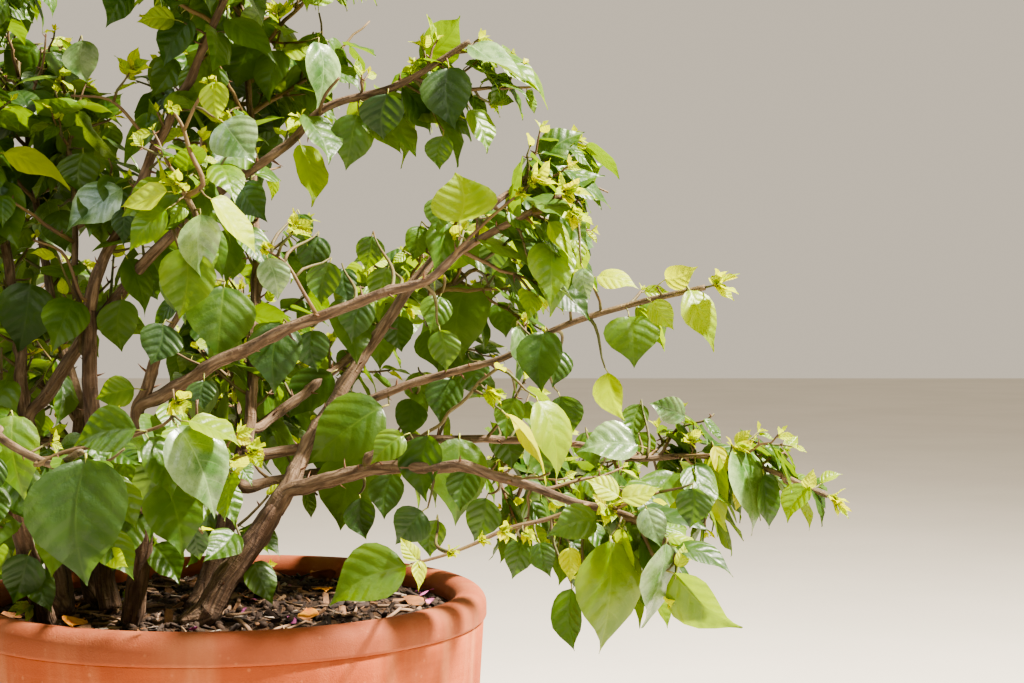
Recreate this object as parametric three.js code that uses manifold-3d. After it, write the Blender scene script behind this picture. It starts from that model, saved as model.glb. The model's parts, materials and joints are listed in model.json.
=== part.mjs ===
// Bougainvillea bush in a large terracotta pot.
// Millimetres, +Z up. The origin is the centre of the pot's flat underside, and -Y is the front.
// The bush is a clump of stems that rise from the soil, boughs that leave the stems, and one
// mass of foliage round the end of each bough.

import * as THREE from 'three';
import { mergeVertices } from 'three/addons/utils/BufferGeometryUtils.js';
import Module from 'manifold-3d';

const wasm = await Module();
wasm.setup();

// Driving dimensions of the pot
const POT_HEIGHT = 363;
const RIM_RADIUS = 183;
const LIP_HEIGHT = 20;
const LIP_WIDTH = 24;
const LIP_ROUNDING = 11;
const LIP_SLOPE = 2;
const WALL_TOP_RADIUS = 181;
const WALL_FOOT_RADIUS = 134;
const WALL_BELLY = 10;
const WALL_THICKNESS = 17;
const FOOT_RADIUS = 140;
const FOOT_HEIGHT = 36;
const FOOT_ROUNDING = 8;
const FOOT_ROUND_ANGLE = 60;
const BASE_THICKNESS = 24;
const DRAIN_RADIUS = 10;
const DRAIN_CIRCLE = 74;
const DRAIN_COUNT = 3;
const DRAIN_SIDES = 10;
const DRAIN_START_ANGLE = 30;
const DRAIN_CUT_LENGTH = 72;
const POT_SIDES = 32;
const WALL_STEPS = 4;
const ROUND_STEPS = 2;

// Driving dimensions of the bush
const SOIL_LEVEL = 350;
const SOIL_SIDE_GAP = 0.6;
const GAP = 0.3;
const STEM_SIDES = 8;
const BOUGH_SIDES = 6;
const STEM_RING_STEP = 26;
const BOUGH_RING_STEP = 62;
const BURIED = 12;
const FLARE_HEIGHT = 24;
const MASS_DETAIL = 2;
const MASS_UNEVENNESS = 0.2;
const MASS_NARROWING = 0.12;
const MASS_OVERHANG = 0.24;
const FEWEST_RINGS = 2;
const GROUND_CUT_WIDTH = 675;
const GROUND_CUT_DEPTH = 48;
const CUT_BLOCK = 600;

// Waves that make a mass uneven, each with its share, its wave numbers along X, Y and Z, and how
// far it shifts from one mass to the next
const massWaves = [
  { share: 0.5, wave: [2.6, 1.9, 0], shift: 1.7 },
  { share: 0.4, wave: [0, 3.3, -2.4], shift: 2.9 },
  { share: 0.35, wave: [4.1, 0, 5.2], shift: 4.3 },
];

// Stems, each from its foot on the soil. heading is the compass angle of its lean from +X
// towards +Y, climb the angle above level, reach the straight length, rise and swing how far the
// middle bows up and sideways, thick and thin the radii at foot and tip, flare the root's spread.
const stems = [
  { name: 'right_stem', foot: [-18, -72], heading: 19, climb: 51, reach: 110,
    rise: -5, swing: 4, thick: 10.5, thin: 8.6, flare: 0.2 },
  { name: 'front_stem', foot: [-53, -72], heading: -70, climb: 76, reach: 150,
    rise: 0, swing: 6, thick: 8.2, thin: 6.2, flare: 0.24 },
  { name: 'tall_stem', foot: [-72, -29], heading: 143, climb: 84, reach: 226,
    rise: 2, swing: 6, thick: 8, thin: 5.6, flare: 0.24 },
  { name: 'left_stem', foot: [-104, -37], heading: 128, climb: 65, reach: 144,
    rise: -6, swing: -6, thick: 9.6, thin: 7.6, flare: 0.24 },
  { name: 'near_left_stem', foot: [-108, -62], heading: -108, climb: 62, reach: 138,
    rise: -7, swing: 5, thick: 8, thin: 6, flare: 0.24 },
  { name: 'back_stem', foot: [-24, -15], heading: 62, climb: 60, reach: 139,
    rise: -7, swing: -5, thick: 9, thin: 7, flare: 0.24 },
  { name: 'back_left_stem', foot: [-88, 5], heading: 112, climb: 58, reach: 165,
    rise: -8, swing: 6, thick: 8.4, thin: 6.4, flare: 0.24 },
];

// Boughs, each from a place along an earlier limb. foliage gives the length, width and height of
// the mass round its end, lift how far the mass sits above the bough's tip, and turn its own
// heading where that isn't the bough's.
const boughs = [
  { name: 'rising_bough', from: 'right_stem', along: 0.97, heading: 31, climb: 53, reach: 240,
    rise: 7, swing: 9, thick: 7, thin: 3.6, foliage: [190, 158, 150], lift: 14 },
  { name: 'low_right_bough', from: 'right_stem', along: 0.99, heading: -27, climb: 2,
    reach: 210, rise: 20, swing: 7, thick: 6.8, thin: 2.8, foliage: [172, 128, 142], lift: -14 },
  { name: 'right_bough', from: 'rising_bough', along: 0.27, heading: -14, climb: 17, reach: 152,
    rise: 4, swing: 5, thick: 4, thin: 2.4, foliage: [172, 100, 124], lift: -4 },
  { name: 'inner_right_bough', from: 'low_right_bough', along: 0.3, heading: -22, climb: 52,
    reach: 62, rise: -4, swing: 0, thick: 3.6, thin: 2.6, foliage: [136, 110, 112], lift: 0 },
  { name: 'long_bough', from: 'front_stem', along: 0.98, heading: -10, climb: 23, reach: 224,
    rise: 11, swing: -8, thick: 5.8, thin: 3.2, foliage: [150, 96, 98], lift: 18 },
  { name: 'front_upright_bough', from: 'front_stem', along: 0.95, heading: -45, climb: 68,
    reach: 122, rise: -4, swing: 4, thick: 4.8, thin: 3.2, foliage: [178, 168, 180], lift: 24 },
  { name: 'front_bough', from: 'front_stem', along: 0.55, heading: -72, climb: 18, reach: 112,
    rise: -6, swing: -6, thick: 3.8, thin: 2.4, foliage: [138, 112, 104], lift: 0, turn: -28 },
  { name: 'tall_bough', from: 'tall_stem', along: 0.98, heading: -18, climb: 62, reach: 236,
    rise: 12, swing: 12, thick: 4.8, thin: 3, foliage: [236, 214, 224], lift: 44 },
  { name: 'inner_top_bough', from: 'tall_stem', along: 0.78, heading: 118, climb: 66, reach: 120,
    rise: -5, swing: 4, thick: 4, thin: 2.8, foliage: [180, 168, 160], lift: 24 },
  { name: 'crossing_bough', from: 'left_stem', along: 0.97, heading: -9, climb: 40, reach: 338,
    rise: 44, swing: -10, thick: 6.2, thin: 3, foliage: [192, 140, 132], lift: 2 },
  { name: 'left_rising_bough', from: 'left_stem', along: 0.98, heading: -170, climb: 83,
    reach: 258, rise: 4, swing: -10, thick: 5.6, thin: 3, foliage: [226, 208, 214], lift: 46 },
  { name: 'left_bough', from: 'left_stem', along: 0.9, heading: -171, climb: 50, reach: 206,
    rise: -9, swing: 8, thick: 5.2, thin: 3, foliage: [236, 206, 202], lift: 14 },
  { name: 'front_left_bough', from: 'near_left_stem', along: 0.96, heading: -76, climb: 8,
    reach: 150, rise: 12, swing: 6, thick: 4.4, thin: 2.6, foliage: [216, 142, 152],
    lift: -14, turn: -18 },
  { name: 'front_left_upper_bough', from: 'near_left_stem', along: 0.98, heading: -134,
    climb: 60, reach: 168, rise: -7, swing: 7, thick: 4.8, thin: 2.8, foliage: [220, 196, 190],
    lift: 20 },
  { name: 'low_left_bough', from: 'near_left_stem', along: 0.8, heading: -165, climb: 0,
    reach: 204, rise: 13, swing: 8, thick: 4.6, thin: 2.6, foliage: [222, 168, 156], lift: -16 },
  { name: 'left_side_bough', from: 'near_left_stem', along: 0.88, heading: 162, climb: 17,
    reach: 250, rise: 10, swing: -10, thick: 4.8, thin: 2.8, foliage: [226, 196, 176], lift: -2 },
  { name: 'far_right_bough', from: 'back_stem', along: 0.86, heading: 7, climb: 0, reach: 296,
    rise: 12, swing: 8, thick: 5, thin: 2.4, foliage: [202, 150, 138], lift: -20 },
  { name: 'back_right_bough', from: 'back_stem', along: 0.97, heading: 46, climb: 30,
    reach: 196, rise: -7, swing: 7, thick: 5, thin: 3, foliage: [234, 206, 196], lift: 8 },
  { name: 'back_bough', from: 'back_stem', along: 0.92, heading: 97, climb: 16, reach: 188,
    rise: -6, swing: 6, thick: 4.6, thin: 2.8, foliage: [226, 200, 180], lift: -6 },
  { name: 'back_top_bough', from: 'back_stem', along: 0.98, heading: 100, climb: 77,
    reach: 262, rise: 5, swing: -9, thick: 5.2, thin: 3, foliage: [222, 204, 206], lift: 40 },
  { name: 'low_back_right_bough', from: 'back_stem', along: 0.7, heading: 40, climb: -2,
    reach: 268, rise: 14, swing: -9, thick: 4.6, thin: 2.6, foliage: [214, 166, 148], lift: -16 },
  { name: 'back_left_bough', from: 'back_left_stem', along: 0.95, heading: 134, climb: 26,
    reach: 158, rise: -6, swing: 6, thick: 4.8, thin: 2.8, foliage: [232, 204, 192], lift: 4 },
  { name: 'low_back_left_bough', from: 'back_left_stem', along: 0.8, heading: 163, climb: -4,
    reach: 228, rise: 12, swing: 8, thick: 4.6, thin: 2.6, foliage: [222, 176, 158], lift: -16 },
  { name: 'back_left_upper_bough', from: 'back_left_stem', along: 0.97, heading: 128,
    climb: 68, reach: 208, rise: -5, swing: 8, thick: 4.8, thin: 2.8, foliage: [218, 198, 190],
    lift: 24 },
];

// Finishes
const terracotta = { color: 0xc8744a, roughness: 0.82, metalness: 0 };
const pottingSoil = { color: 0x33261d, roughness: 0.96, metalness: 0 };
const oldBark = { color: 0x7a5a41, roughness: 0.86, metalness: 0 };
const youngBark = { color: 0x8a6546, roughness: 0.78, metalness: 0 };
const leafGreens = [0x4f8a26, 0x41781f, 0x5f9a2c, 0x387022];

const bush = new THREE.Group();

const radians = (degrees) => THREE.MathUtils.degToRad(degrees);

// A closed geometry as a solid that can be joined and cut
function solidOf(geometry) {
  const bare = geometry.clone();
  bare.deleteAttribute('normal');
  bare.deleteAttribute('uv');
  const merged = mergeVertices(bare);
  return new wasm.Manifold(new wasm.Mesh({
    numProp: 3,
    vertProperties: new Float32Array(merged.attributes.position.array),
    triVerts: new Uint32Array(merged.index.array),
  }));
}

// The solid as a geometry again
function geometryOf(solid) {
  const mesh = solid.getMesh();
  const geometry = new THREE.BufferGeometry();
  geometry.setAttribute('position', new THREE.Float32BufferAttribute(mesh.vertProperties, 3));
  geometry.setIndex(new THREE.Uint32BufferAttribute(mesh.triVerts, 1));
  geometry.computeVertexNormals();
  return geometry;
}

// The largest of the pieces that a cut leaves
function largestPiece(solid) {
  const pieces = solid.decompose();
  return pieces.reduce((best, piece) => (piece.volume() > best.volume() ? piece : best));
}

// One named mesh of the bush
function addMesh(name, solid, finish) {
  const mesh = new THREE.Mesh(geometryOf(solid), new THREE.MeshStandardMaterial(finish));
  mesh.name = name;
  bush.add(mesh);
}

// Points on an arc from one angle to another, in the profile's plane
function roundPoints(radius, height, rounding, from, to) {
  const points = [];
  for (let step = 0; step <= ROUND_STEPS; step += 1) {
    const angle = radians(from + (to - from) * (step / ROUND_STEPS));
    points.push([radius + rounding * Math.cos(angle), height + rounding * Math.sin(angle)]);
  }
  return points;
}

// Radius of the pot's outer wall at a height between the foot and the lip
function wallRadius(height) {
  const lipFoot = POT_HEIGHT - LIP_HEIGHT;
  const part = (height - FOOT_HEIGHT) / (lipFoot - FOOT_HEIGHT);
  const straight = WALL_FOOT_RADIUS + (WALL_TOP_RADIUS - WALL_FOOT_RADIUS) * part;
  return straight + WALL_BELLY * Math.sin(Math.PI * part);
}

// A profile of [radius, height] points turned about the upright axis
function turned(points) {
  const outline = points.map(([radius, height]) => new THREE.Vector2(radius, height));
  const lathe = new THREE.LatheGeometry(outline, POT_SIDES);
  return lathe.rotateX(Math.PI / 2);
}

// Heights of the wall's steps, from the foot up to the lip
function wallHeights() {
  const heights = [];
  for (let step = 0; step <= WALL_STEPS; step += 1) {
    const lipFoot = POT_HEIGHT - LIP_HEIGHT;
    heights.push(FOOT_HEIGHT + ((lipFoot - FOOT_HEIGHT) * step) / WALL_STEPS);
  }
  return heights;
}

// Inner radius of the pot at a height, narrower inside the lip
function innerRadius(height) {
  if (height > POT_HEIGHT - LIP_HEIGHT) {
    return RIM_RADIUS - LIP_WIDTH;
  }
  return wallRadius(Math.max(height, FOOT_HEIGHT)) - WALL_THICKNESS;
}

function makePot() {
  const lipFoot = POT_HEIGHT - LIP_HEIGHT;
  const lipInside = RIM_RADIUS - LIP_WIDTH;
  const footRound = FOOT_RADIUS - FOOT_ROUNDING;
  const footTop = FOOT_HEIGHT - FOOT_ROUNDING;
  const lipTop = POT_HEIGHT - LIP_ROUNDING;
  const outer = [
    [0, 0],
    [footRound, 0],
    ...roundPoints(footRound, FOOT_ROUNDING, FOOT_ROUNDING, -FOOT_ROUND_ANGLE, 0),
    ...roundPoints(footRound, footTop, FOOT_ROUNDING, 0, FOOT_ROUND_ANGLE),
    ...wallHeights().map((height) => [wallRadius(height), height]),
    [RIM_RADIUS, lipFoot + LIP_SLOPE],
    ...roundPoints(RIM_RADIUS - LIP_ROUNDING, lipTop, LIP_ROUNDING, 0, 90),
    ...roundPoints(lipInside + LIP_ROUNDING, lipTop, LIP_ROUNDING, 90, 180),
  ];
  const inner = wallHeights().reverse().map((height) => [innerRadius(height), height]);
  const floor = [
    [innerRadius(BASE_THICKNESS), BASE_THICKNESS],
    [0, BASE_THICKNESS],
    [0, 0],
  ];
  let pot = solidOf(turned([...outer, ...inner, ...floor]));
  for (let hole = 0; hole < DRAIN_COUNT; hole += 1) {
    const angle = radians(DRAIN_START_ANGLE + 360 * (hole / DRAIN_COUNT));
    const drain = new THREE.CylinderGeometry(DRAIN_RADIUS, DRAIN_RADIUS, DRAIN_CUT_LENGTH,
      DRAIN_SIDES);
    drain.rotateX(Math.PI / 2);
    drain.translate(DRAIN_CIRCLE * Math.cos(angle), DRAIN_CIRCLE * Math.sin(angle), 0);
    pot = pot.subtract(solidOf(drain));
  }
  return pot;
}

function makeSoil() {
  const heights = wallHeights().filter((height) => height < SOIL_LEVEL);
  const side = [BASE_THICKNESS + GAP, ...heights, SOIL_LEVEL];
  return solidOf(turned([
    [0, BASE_THICKNESS + GAP],
    ...side.map((height) => [innerRadius(height) - SOIL_SIDE_GAP, height]),
    [0, SOIL_LEVEL],
  ]));
}

// The curve of a limb from its root, bowed in the middle by its rise and swing. The middle control
// point stands off twice as far as the curve bows. A stem starts at a depth under its root.
function limbCurve(root, limb, depth) {
  const heading = radians(limb.heading);
  const climb = radians(limb.climb);
  const level = new THREE.Vector3(Math.cos(heading), Math.sin(heading), 0);
  const side = new THREE.Vector3(-Math.sin(heading), Math.cos(heading), 0);
  const up = new THREE.Vector3(0, 0, 1);
  const start = root.clone().addScaledVector(up, -depth);
  const end = root.clone()
    .addScaledVector(level, limb.reach * Math.cos(climb))
    .addScaledVector(up, limb.reach * Math.sin(climb));
  const middle = start.clone().add(end).multiplyScalar(0.5)
    .addScaledVector(up, 2 * limb.rise)
    .addScaledVector(side, 2 * limb.swing);
  return new THREE.QuadraticBezierCurve3(start, middle, end);
}

// A round limb that tapers along its curve, with a spread root where it has a flare. growth makes
// it larger all round, for cutting its neighbours.
function limbSolid(limb, curve, sides, rings, growth) {
  const tube = new THREE.CylinderGeometry(1, 1, 1, sides, rings);
  const frames = curve.computeFrenetFrames(rings, false);
  const place = tube.attributes.position;
  const spot = new THREE.Vector3();
  for (let index = 0; index < place.count; index += 1) {
    const part = place.getY(index) + 0.5;
    const ring = Math.round(part * rings);
    const spread = (limb.flare || 0) * Math.exp(-(part * limb.reach) / FLARE_HEIGHT);
    const radius = (limb.thick + (limb.thin - limb.thick) * part) * (1 + spread) + growth;
    spot.copy(curve.getPointAt(part));
    spot.addScaledVector(frames.normals[ring], place.getX(index) * radius);
    spot.addScaledVector(frames.binormals[ring], -place.getZ(index) * radius);
    if (ring === 0 || ring === rings) {
      spot.addScaledVector(frames.tangents[ring], ring === 0 ? -growth : growth);
    }
    place.setXYZ(index, spot.x, spot.y, spot.z);
  }
  return solidOf(tube);
}

// How far a mass stands out in a direction, as a share of its radius
function unevenness(direction, seed) {
  let height = 0;
  for (const { share, wave, shift } of massWaves) {
    height += share * Math.sin(direction.dot(new THREE.Vector3(...wave)) + seed * shift);
  }
  return MASS_UNEVENNESS * height;
}

// The mass of foliage round a bough's end, an uneven egg with its narrow end towards the bough
function massSolid(bough, curve, seed, growth) {
  const [length, width, height] = bough.foliage;
  const egg = new THREE.IcosahedronGeometry(1, MASS_DETAIL);
  const place = egg.attributes.position;
  const spot = new THREE.Vector3();
  for (let index = 0; index < place.count; index += 1) {
    spot.fromBufferAttribute(place, index);
    const swell = 1 + unevenness(spot, seed);
    const narrowing = 1 + MASS_NARROWING * spot.x;
    spot.set(
      spot.x * swell * (length / 2 + growth),
      spot.y * swell * narrowing * (width / 2 + growth),
      spot.z * swell * narrowing * (height / 2 + growth),
    );
    place.setXYZ(index, spot.x, spot.y, spot.z);
  }
  const tip = curve.getPointAt(1);
  const heading = radians(bough.turn === undefined ? bough.heading : bough.turn);
  const outward = length * MASS_OVERHANG * Math.cos(radians(bough.climb));
  egg.rotateZ(heading);
  egg.translate(
    tip.x + outward * Math.cos(heading),
    tip.y + outward * Math.sin(heading),
    tip.z + bough.lift,
  );
  return solidOf(egg);
}

// Every limb starts on its parent, and is cut back from the limbs made before it
const curves = new Map();
const limbs = [];

function growLimb(limb, curve, sides, ringStep) {
  const rings = Math.max(FEWEST_RINGS, Math.round(limb.reach / ringStep));
  curves.set(limb.name, curve);
  let solid = limbSolid(limb, curve, sides, rings, 0);
  for (const other of limbs) {
    solid = solid.subtract(other.grown);
  }
  const grown = limbSolid(limb, curve, sides, rings, GAP);
  limbs.push({ limb, grown, solid: largestPiece(solid) });
}

function growStems() {
  const ground = new THREE.BoxGeometry(GROUND_CUT_WIDTH, GROUND_CUT_WIDTH, GROUND_CUT_DEPTH);
  ground.translate(0, 0, SOIL_LEVEL + GAP - GROUND_CUT_DEPTH / 2);
  const soilCut = solidOf(ground);
  for (const stem of stems) {
    const root = new THREE.Vector3(stem.foot[0], stem.foot[1], SOIL_LEVEL);
    growLimb(stem, limbCurve(root, stem, BURIED), STEM_SIDES, STEM_RING_STEP);
    const grownStem = limbs[limbs.length - 1];
    grownStem.solid = largestPiece(grownStem.solid.subtract(soilCut));
  }
}

function growBoughs() {
  for (const bough of boughs) {
    const start = curves.get(bough.from).getPointAt(bough.along);
    growLimb(bough, limbCurve(start, bough, 0), BOUGH_SIDES, BOUGH_RING_STEP);
  }
}

// The middle of a solid's box
function middleOf(solid) {
  const { min, max } = solid.boundingBox();
  return new THREE.Vector3(...min).add(new THREE.Vector3(...max)).multiplyScalar(0.5);
}

// Everything beyond a flat cut, whose outward side faces along a direction
function beyond(point, direction) {
  const block = new THREE.BoxGeometry(CUT_BLOCK, CUT_BLOCK, CUT_BLOCK);
  block.translate(0, 0, CUT_BLOCK / 2);
  const turn = new THREE.Quaternion();
  turn.setFromUnitVectors(new THREE.Vector3(0, 0, 1), direction);
  block.applyQuaternion(turn);
  block.translate(point.x, point.y, point.z);
  return solidOf(block);
}

// Two masses that meet are parted by a flat cut half way through their overlap
function partMasses(first, second) {
  const shared = first.solid.intersect(second.solid);
  if (shared.isEmpty()) {
    return;
  }
  const point = middleOf(shared);
  const across = middleOf(second.solid).sub(middleOf(first.solid)).normalize();
  for (const [mass, outward] of [[first, across], [second, across.clone().negate()]]) {
    const near = point.clone().addScaledVector(outward, -GAP / 2);
    const far = point.clone().addScaledVector(outward, GAP / 2);
    mass.solid = mass.solid.subtract(beyond(near, outward));
    mass.grown = mass.grown.subtract(beyond(far, outward));
  }
}

// Masses are parted from each other and cut round the limbs. A bough stops at its own mass.
function growMasses() {
  const masses = boughs.map((bough, order) => ({
    bough,
    solid: massSolid(bough, curves.get(bough.name), order, 0),
    grown: massSolid(bough, curves.get(bough.name), order, GAP),
  }));
  masses.forEach((mass, order) => {
    masses.slice(order + 1).forEach((other) => partMasses(mass, other));
  });
  for (const mass of masses) {
    const own = limbs.find((entry) => entry.limb === mass.bough);
    own.solid = largestPiece(own.solid.subtract(mass.grown));
    for (const other of limbs) {
      if (other !== own) {
        mass.solid = mass.solid.subtract(other.grown);
      }
    }
    mass.solid = largestPiece(mass.solid);
  }
  return masses;
}

growStems();
growBoughs();
const masses = growMasses();

addMesh('pot', makePot(), terracotta);
addMesh('soil', makeSoil(), pottingSoil);
for (const { limb, solid } of limbs) {
  addMesh(limb.name, solid, limb.foot ? oldBark : youngBark);
}
masses.forEach(({ bough, solid }, order) => {
  const color = leafGreens[order % leafGreens.length];
  addMesh(bough.name.replace('bough', 'foliage'), solid, { color, roughness: 0.6, metalness: 0 });
});

export default bush;
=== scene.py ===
"""A bougainvillea bush in a large terracotta pot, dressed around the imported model.

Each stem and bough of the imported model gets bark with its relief. Each mass of foliage becomes a
leader, side shoots and leaves that grow on from its bough. The pot and the soil get their finish.
Lengths are in metres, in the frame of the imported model: +Z up and -Y the front.
"""

import json
import logging
import math
from collections.abc import Mapping, Sequence
from dataclasses import dataclass, field
from enum import Enum

import bmesh
import bpy
import numpy as np
from mathutils import Matrix, Vector, noise
from mathutils.bvhtree import BVHTree

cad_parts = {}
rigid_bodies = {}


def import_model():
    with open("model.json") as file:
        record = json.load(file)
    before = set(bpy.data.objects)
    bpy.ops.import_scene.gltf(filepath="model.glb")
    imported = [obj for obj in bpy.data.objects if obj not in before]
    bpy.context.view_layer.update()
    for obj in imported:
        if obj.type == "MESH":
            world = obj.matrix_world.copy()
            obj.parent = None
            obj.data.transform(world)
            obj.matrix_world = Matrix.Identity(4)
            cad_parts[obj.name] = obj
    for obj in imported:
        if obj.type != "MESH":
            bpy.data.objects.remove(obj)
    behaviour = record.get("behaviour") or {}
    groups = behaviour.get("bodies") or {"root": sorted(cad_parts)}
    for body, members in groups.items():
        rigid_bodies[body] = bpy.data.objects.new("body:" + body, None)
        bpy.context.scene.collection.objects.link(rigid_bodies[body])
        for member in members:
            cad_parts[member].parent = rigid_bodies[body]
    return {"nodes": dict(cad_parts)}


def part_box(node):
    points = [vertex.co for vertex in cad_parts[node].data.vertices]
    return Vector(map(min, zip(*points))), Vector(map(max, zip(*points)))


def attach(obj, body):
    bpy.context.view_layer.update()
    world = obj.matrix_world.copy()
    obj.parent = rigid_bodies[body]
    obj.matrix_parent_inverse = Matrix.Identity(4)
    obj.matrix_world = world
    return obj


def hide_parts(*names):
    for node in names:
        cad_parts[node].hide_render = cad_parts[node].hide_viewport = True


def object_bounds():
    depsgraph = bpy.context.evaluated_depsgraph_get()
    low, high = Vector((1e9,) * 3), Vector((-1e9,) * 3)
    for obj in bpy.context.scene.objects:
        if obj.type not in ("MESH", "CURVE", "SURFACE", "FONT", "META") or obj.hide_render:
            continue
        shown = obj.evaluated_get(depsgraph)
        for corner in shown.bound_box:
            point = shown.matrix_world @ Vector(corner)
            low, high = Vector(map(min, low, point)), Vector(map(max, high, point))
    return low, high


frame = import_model()
CAD_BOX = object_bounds()
log = logging.getLogger("bush")

MM = 0.001
UP = np.array((0.0, 0.0, 1.0))
GOLDEN_ANGLE = math.radians(137.5)
MERGE_GAP = 0.005 * MM
SEED = 3

Colour = tuple[float, float, float, float]
Outline = list[tuple[float, float]]
Socket = bpy.types.NodeSocket


class Slot(Enum):
    """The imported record's material slots."""

    TERRACOTTA = "terracotta"
    SOIL = "potting_soil"
    OLD_BARK = "old_bark"
    YOUNG_BARK = "young_bark"
    LEAVES = "leaves"


class Tint(Enum):
    """How old a leaf looks, and the painted shade, light or sheen on it, from the shaded inside of the crown
    to its youngest tips.
    """

    # The greens from deep to fresh are also painted shade and light: darker inside the crown, paler where
    # light falls.
    DEEP = "deep"
    MATURE = "mature"
    MIDDLE = "middle"
    FRESH = "fresh"
    LIME = "lime"
    GOLD = "gold"
    # Pale patches on a dark green leaf: a painted sheen that stands for reflected light.
    PAINTED_SHEEN = "silver"


def paint(red: int, green: int, blue: int) -> Colour:
    """A colour from its look in daylight.

    Args:
        red: Red from 0 to 255.
        green: Green from 0 to 255.
        blue: Blue from 0 to 255.

    Returns:
        The colour for a shader, with full alpha.
    """
    shares = (part / 255 for part in (red, green, blue))
    linear = (s / 12.92 if s <= 0.04045 else ((s + 0.055) / 1.055) ** 2.4 for s in shares)
    return (*linear, 1.0)


def unit(vector: np.ndarray) -> np.ndarray:
    """The vector, or each row of vectors, at length 1."""
    length = np.linalg.norm(vector, axis=-1, keepdims=True)
    return vector / np.maximum(length, 1e-9)


def smooth_step(value: np.ndarray) -> np.ndarray:
    """An even rise from 0 to 1 as the value goes from 0 to 1."""
    share = np.clip(value, 0.0, 1.0)
    return share * share * (3 - 2 * share)


# Shader nodes


class Wiring:
    """Adds nodes to one tree and joins their sockets."""

    def __init__(self, tree: bpy.types.NodeTree) -> None:
        """Takes the node tree of a material or a group."""
        self.tree = tree

    def add(
        self, kind: str, inputs: Mapping[str | int, object] | None = None, **settings: object
    ) -> bpy.types.Node:
        """Adds one node.

        Args:
            kind: Blender's name for the node.
            inputs: A value or another node's socket for each input, by name or place.
            **settings: The node's own properties.

        Returns:
            The new node.
        """
        node = self.tree.nodes.new(kind)
        for name, value in settings.items():
            setattr(node, name, value)
        for name, value in (inputs or {}).items():
            if isinstance(value, Socket):
                self.tree.links.new(value, node.inputs[name])
            else:
                node.inputs[name].default_value = value
        return node

    def math(self, operation: str, *values: object) -> Socket:
        """The result of Blender's Math node for an operation on numbers or sockets."""
        return self.add("ShaderNodeMath", dict(enumerate(values)), operation=operation).outputs[0]

    def times(self, first: object, second: object) -> Socket:
        """Two values multiplied."""
        return self.math("MULTIPLY", first, second)

    def span(self, value: Socket, low: float, high: float, start: float = 0, end: float = 1) -> Socket:
        """A smooth change from start, where a value is at low, to end, where it is at high."""
        inputs = {"Value": value, "From Min": low, "From Max": high, "To Min": start, "To Max": end}
        return self.add("ShaderNodeMapRange", inputs, interpolation_type="SMOOTHSTEP").outputs["Result"]

    def blend(self, share: object, first: object, second: object) -> Socket:
        """Two colours mixed, with a share of the second."""
        return self.add("ShaderNodeMix", {0: share, 6: first, 7: second}, data_type="RGBA").outputs[2]

    def stretched(self, vector: Socket, scale: Sequence[float]) -> Socket:
        """The coordinates with each axis scaled by its factor."""
        return self.add("ShaderNodeMapping", {"Vector": vector, "Scale": scale}).outputs["Vector"]

    def noise(self, vector: Socket, scale: object, detail: float, rough: float) -> Socket:
        """Smooth noise from 0 to 1, at a scale per metre, with finer layers and their strength."""
        inputs = {"Vector": vector, "Scale": scale, "Detail": detail, "Roughness": rough}
        return self.add("ShaderNodeTexNoise", inputs).outputs[0]

    def bump(self, height: Socket, strength: float, distance: float) -> Socket:
        """The normal of a relief, whose level 1 stands a distance in metres high."""
        inputs = {"Height": height, "Strength": strength, "Distance": distance}
        return self.add("ShaderNodeBump", inputs).outputs["Normal"]


class Effect:
    """A shader node group on coordinates that finishes share, built the first time it is used."""

    name = ""
    takes: dict[str, float] = {}
    gives: tuple[str, ...] = ()

    def draw(self, wiring: Wiring, given: Mapping[str, Socket]) -> dict[str, Socket]:
        """Adds the group's own nodes after its inputs and gives the socket for each output."""
        raise NotImplementedError

    def tree(self) -> bpy.types.NodeTree:
        """Makes the group's tree, or finds it.

        Returns:
            The tree.
        """
        found = bpy.data.node_groups.get(self.name)
        if found:
            return found
        tree = bpy.data.node_groups.new(self.name, "ShaderNodeTree")
        tree.interface.new_socket("Vector", in_out="INPUT", socket_type="NodeSocketVector")
        for name, start in self.takes.items():
            socket = tree.interface.new_socket(name, in_out="INPUT", socket_type="NodeSocketFloat")
            socket.default_value = start
        for name in self.gives:
            tree.interface.new_socket(name, in_out="OUTPUT", socket_type="NodeSocketFloat")
        wiring = Wiring(tree)
        entry = wiring.add("NodeGroupInput")
        wiring.add("NodeGroupOutput", self.draw(wiring, entry.outputs))
        return tree

    def use(self, wiring: Wiring, **inputs: object) -> Mapping[str, Socket]:
        """The outputs of the group placed in a material, with _ for a space in an input's name."""
        named = {name.replace("_", " "): value for name, value in inputs.items()}
        return wiring.add("ShaderNodeGroup", named, node_tree=self.tree()).outputs


class Mottling(Effect):
    """Broad patches, fine grain and scattered specks on a matt surface."""

    name = "mottling"
    takes = {"Patch Scale": 20.0, "Grain Scale": 600.0, "Speck Scale": 250.0}
    gives = ("Patches", "Grain", "Specks")

    def draw(self, wiring: Wiring, given: Mapping[str, Socket]) -> dict[str, Socket]:
        """Draws the patches, the grain and the specks.

        Args:
            wiring: The group's tree.
            given: The coordinates and the three scales.

        Returns:
            Their three masks.
        """
        place = given["Vector"]
        broad = wiring.noise(place, given["Patch Scale"], 5, 0.6)
        fine = wiring.noise(place, given["Grain Scale"], 3, 0.7)
        cells = wiring.add("ShaderNodeTexVoronoi", {"Vector": place, "Scale": given["Speck Scale"]})
        chosen = wiring.math("LESS_THAN", wiring.span(cells.outputs["Color"], 0, 1), 0.22)
        spots = wiring.span(cells.outputs["Distance"], 0.1, 0.34, 1, 0)
        return {
            "Patches": wiring.span(broad, 0.36, 0.66),
            "Grain": wiring.span(fine, 0.3, 0.7),
            "Specks": wiring.times(spots, chosen),
        }


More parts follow.
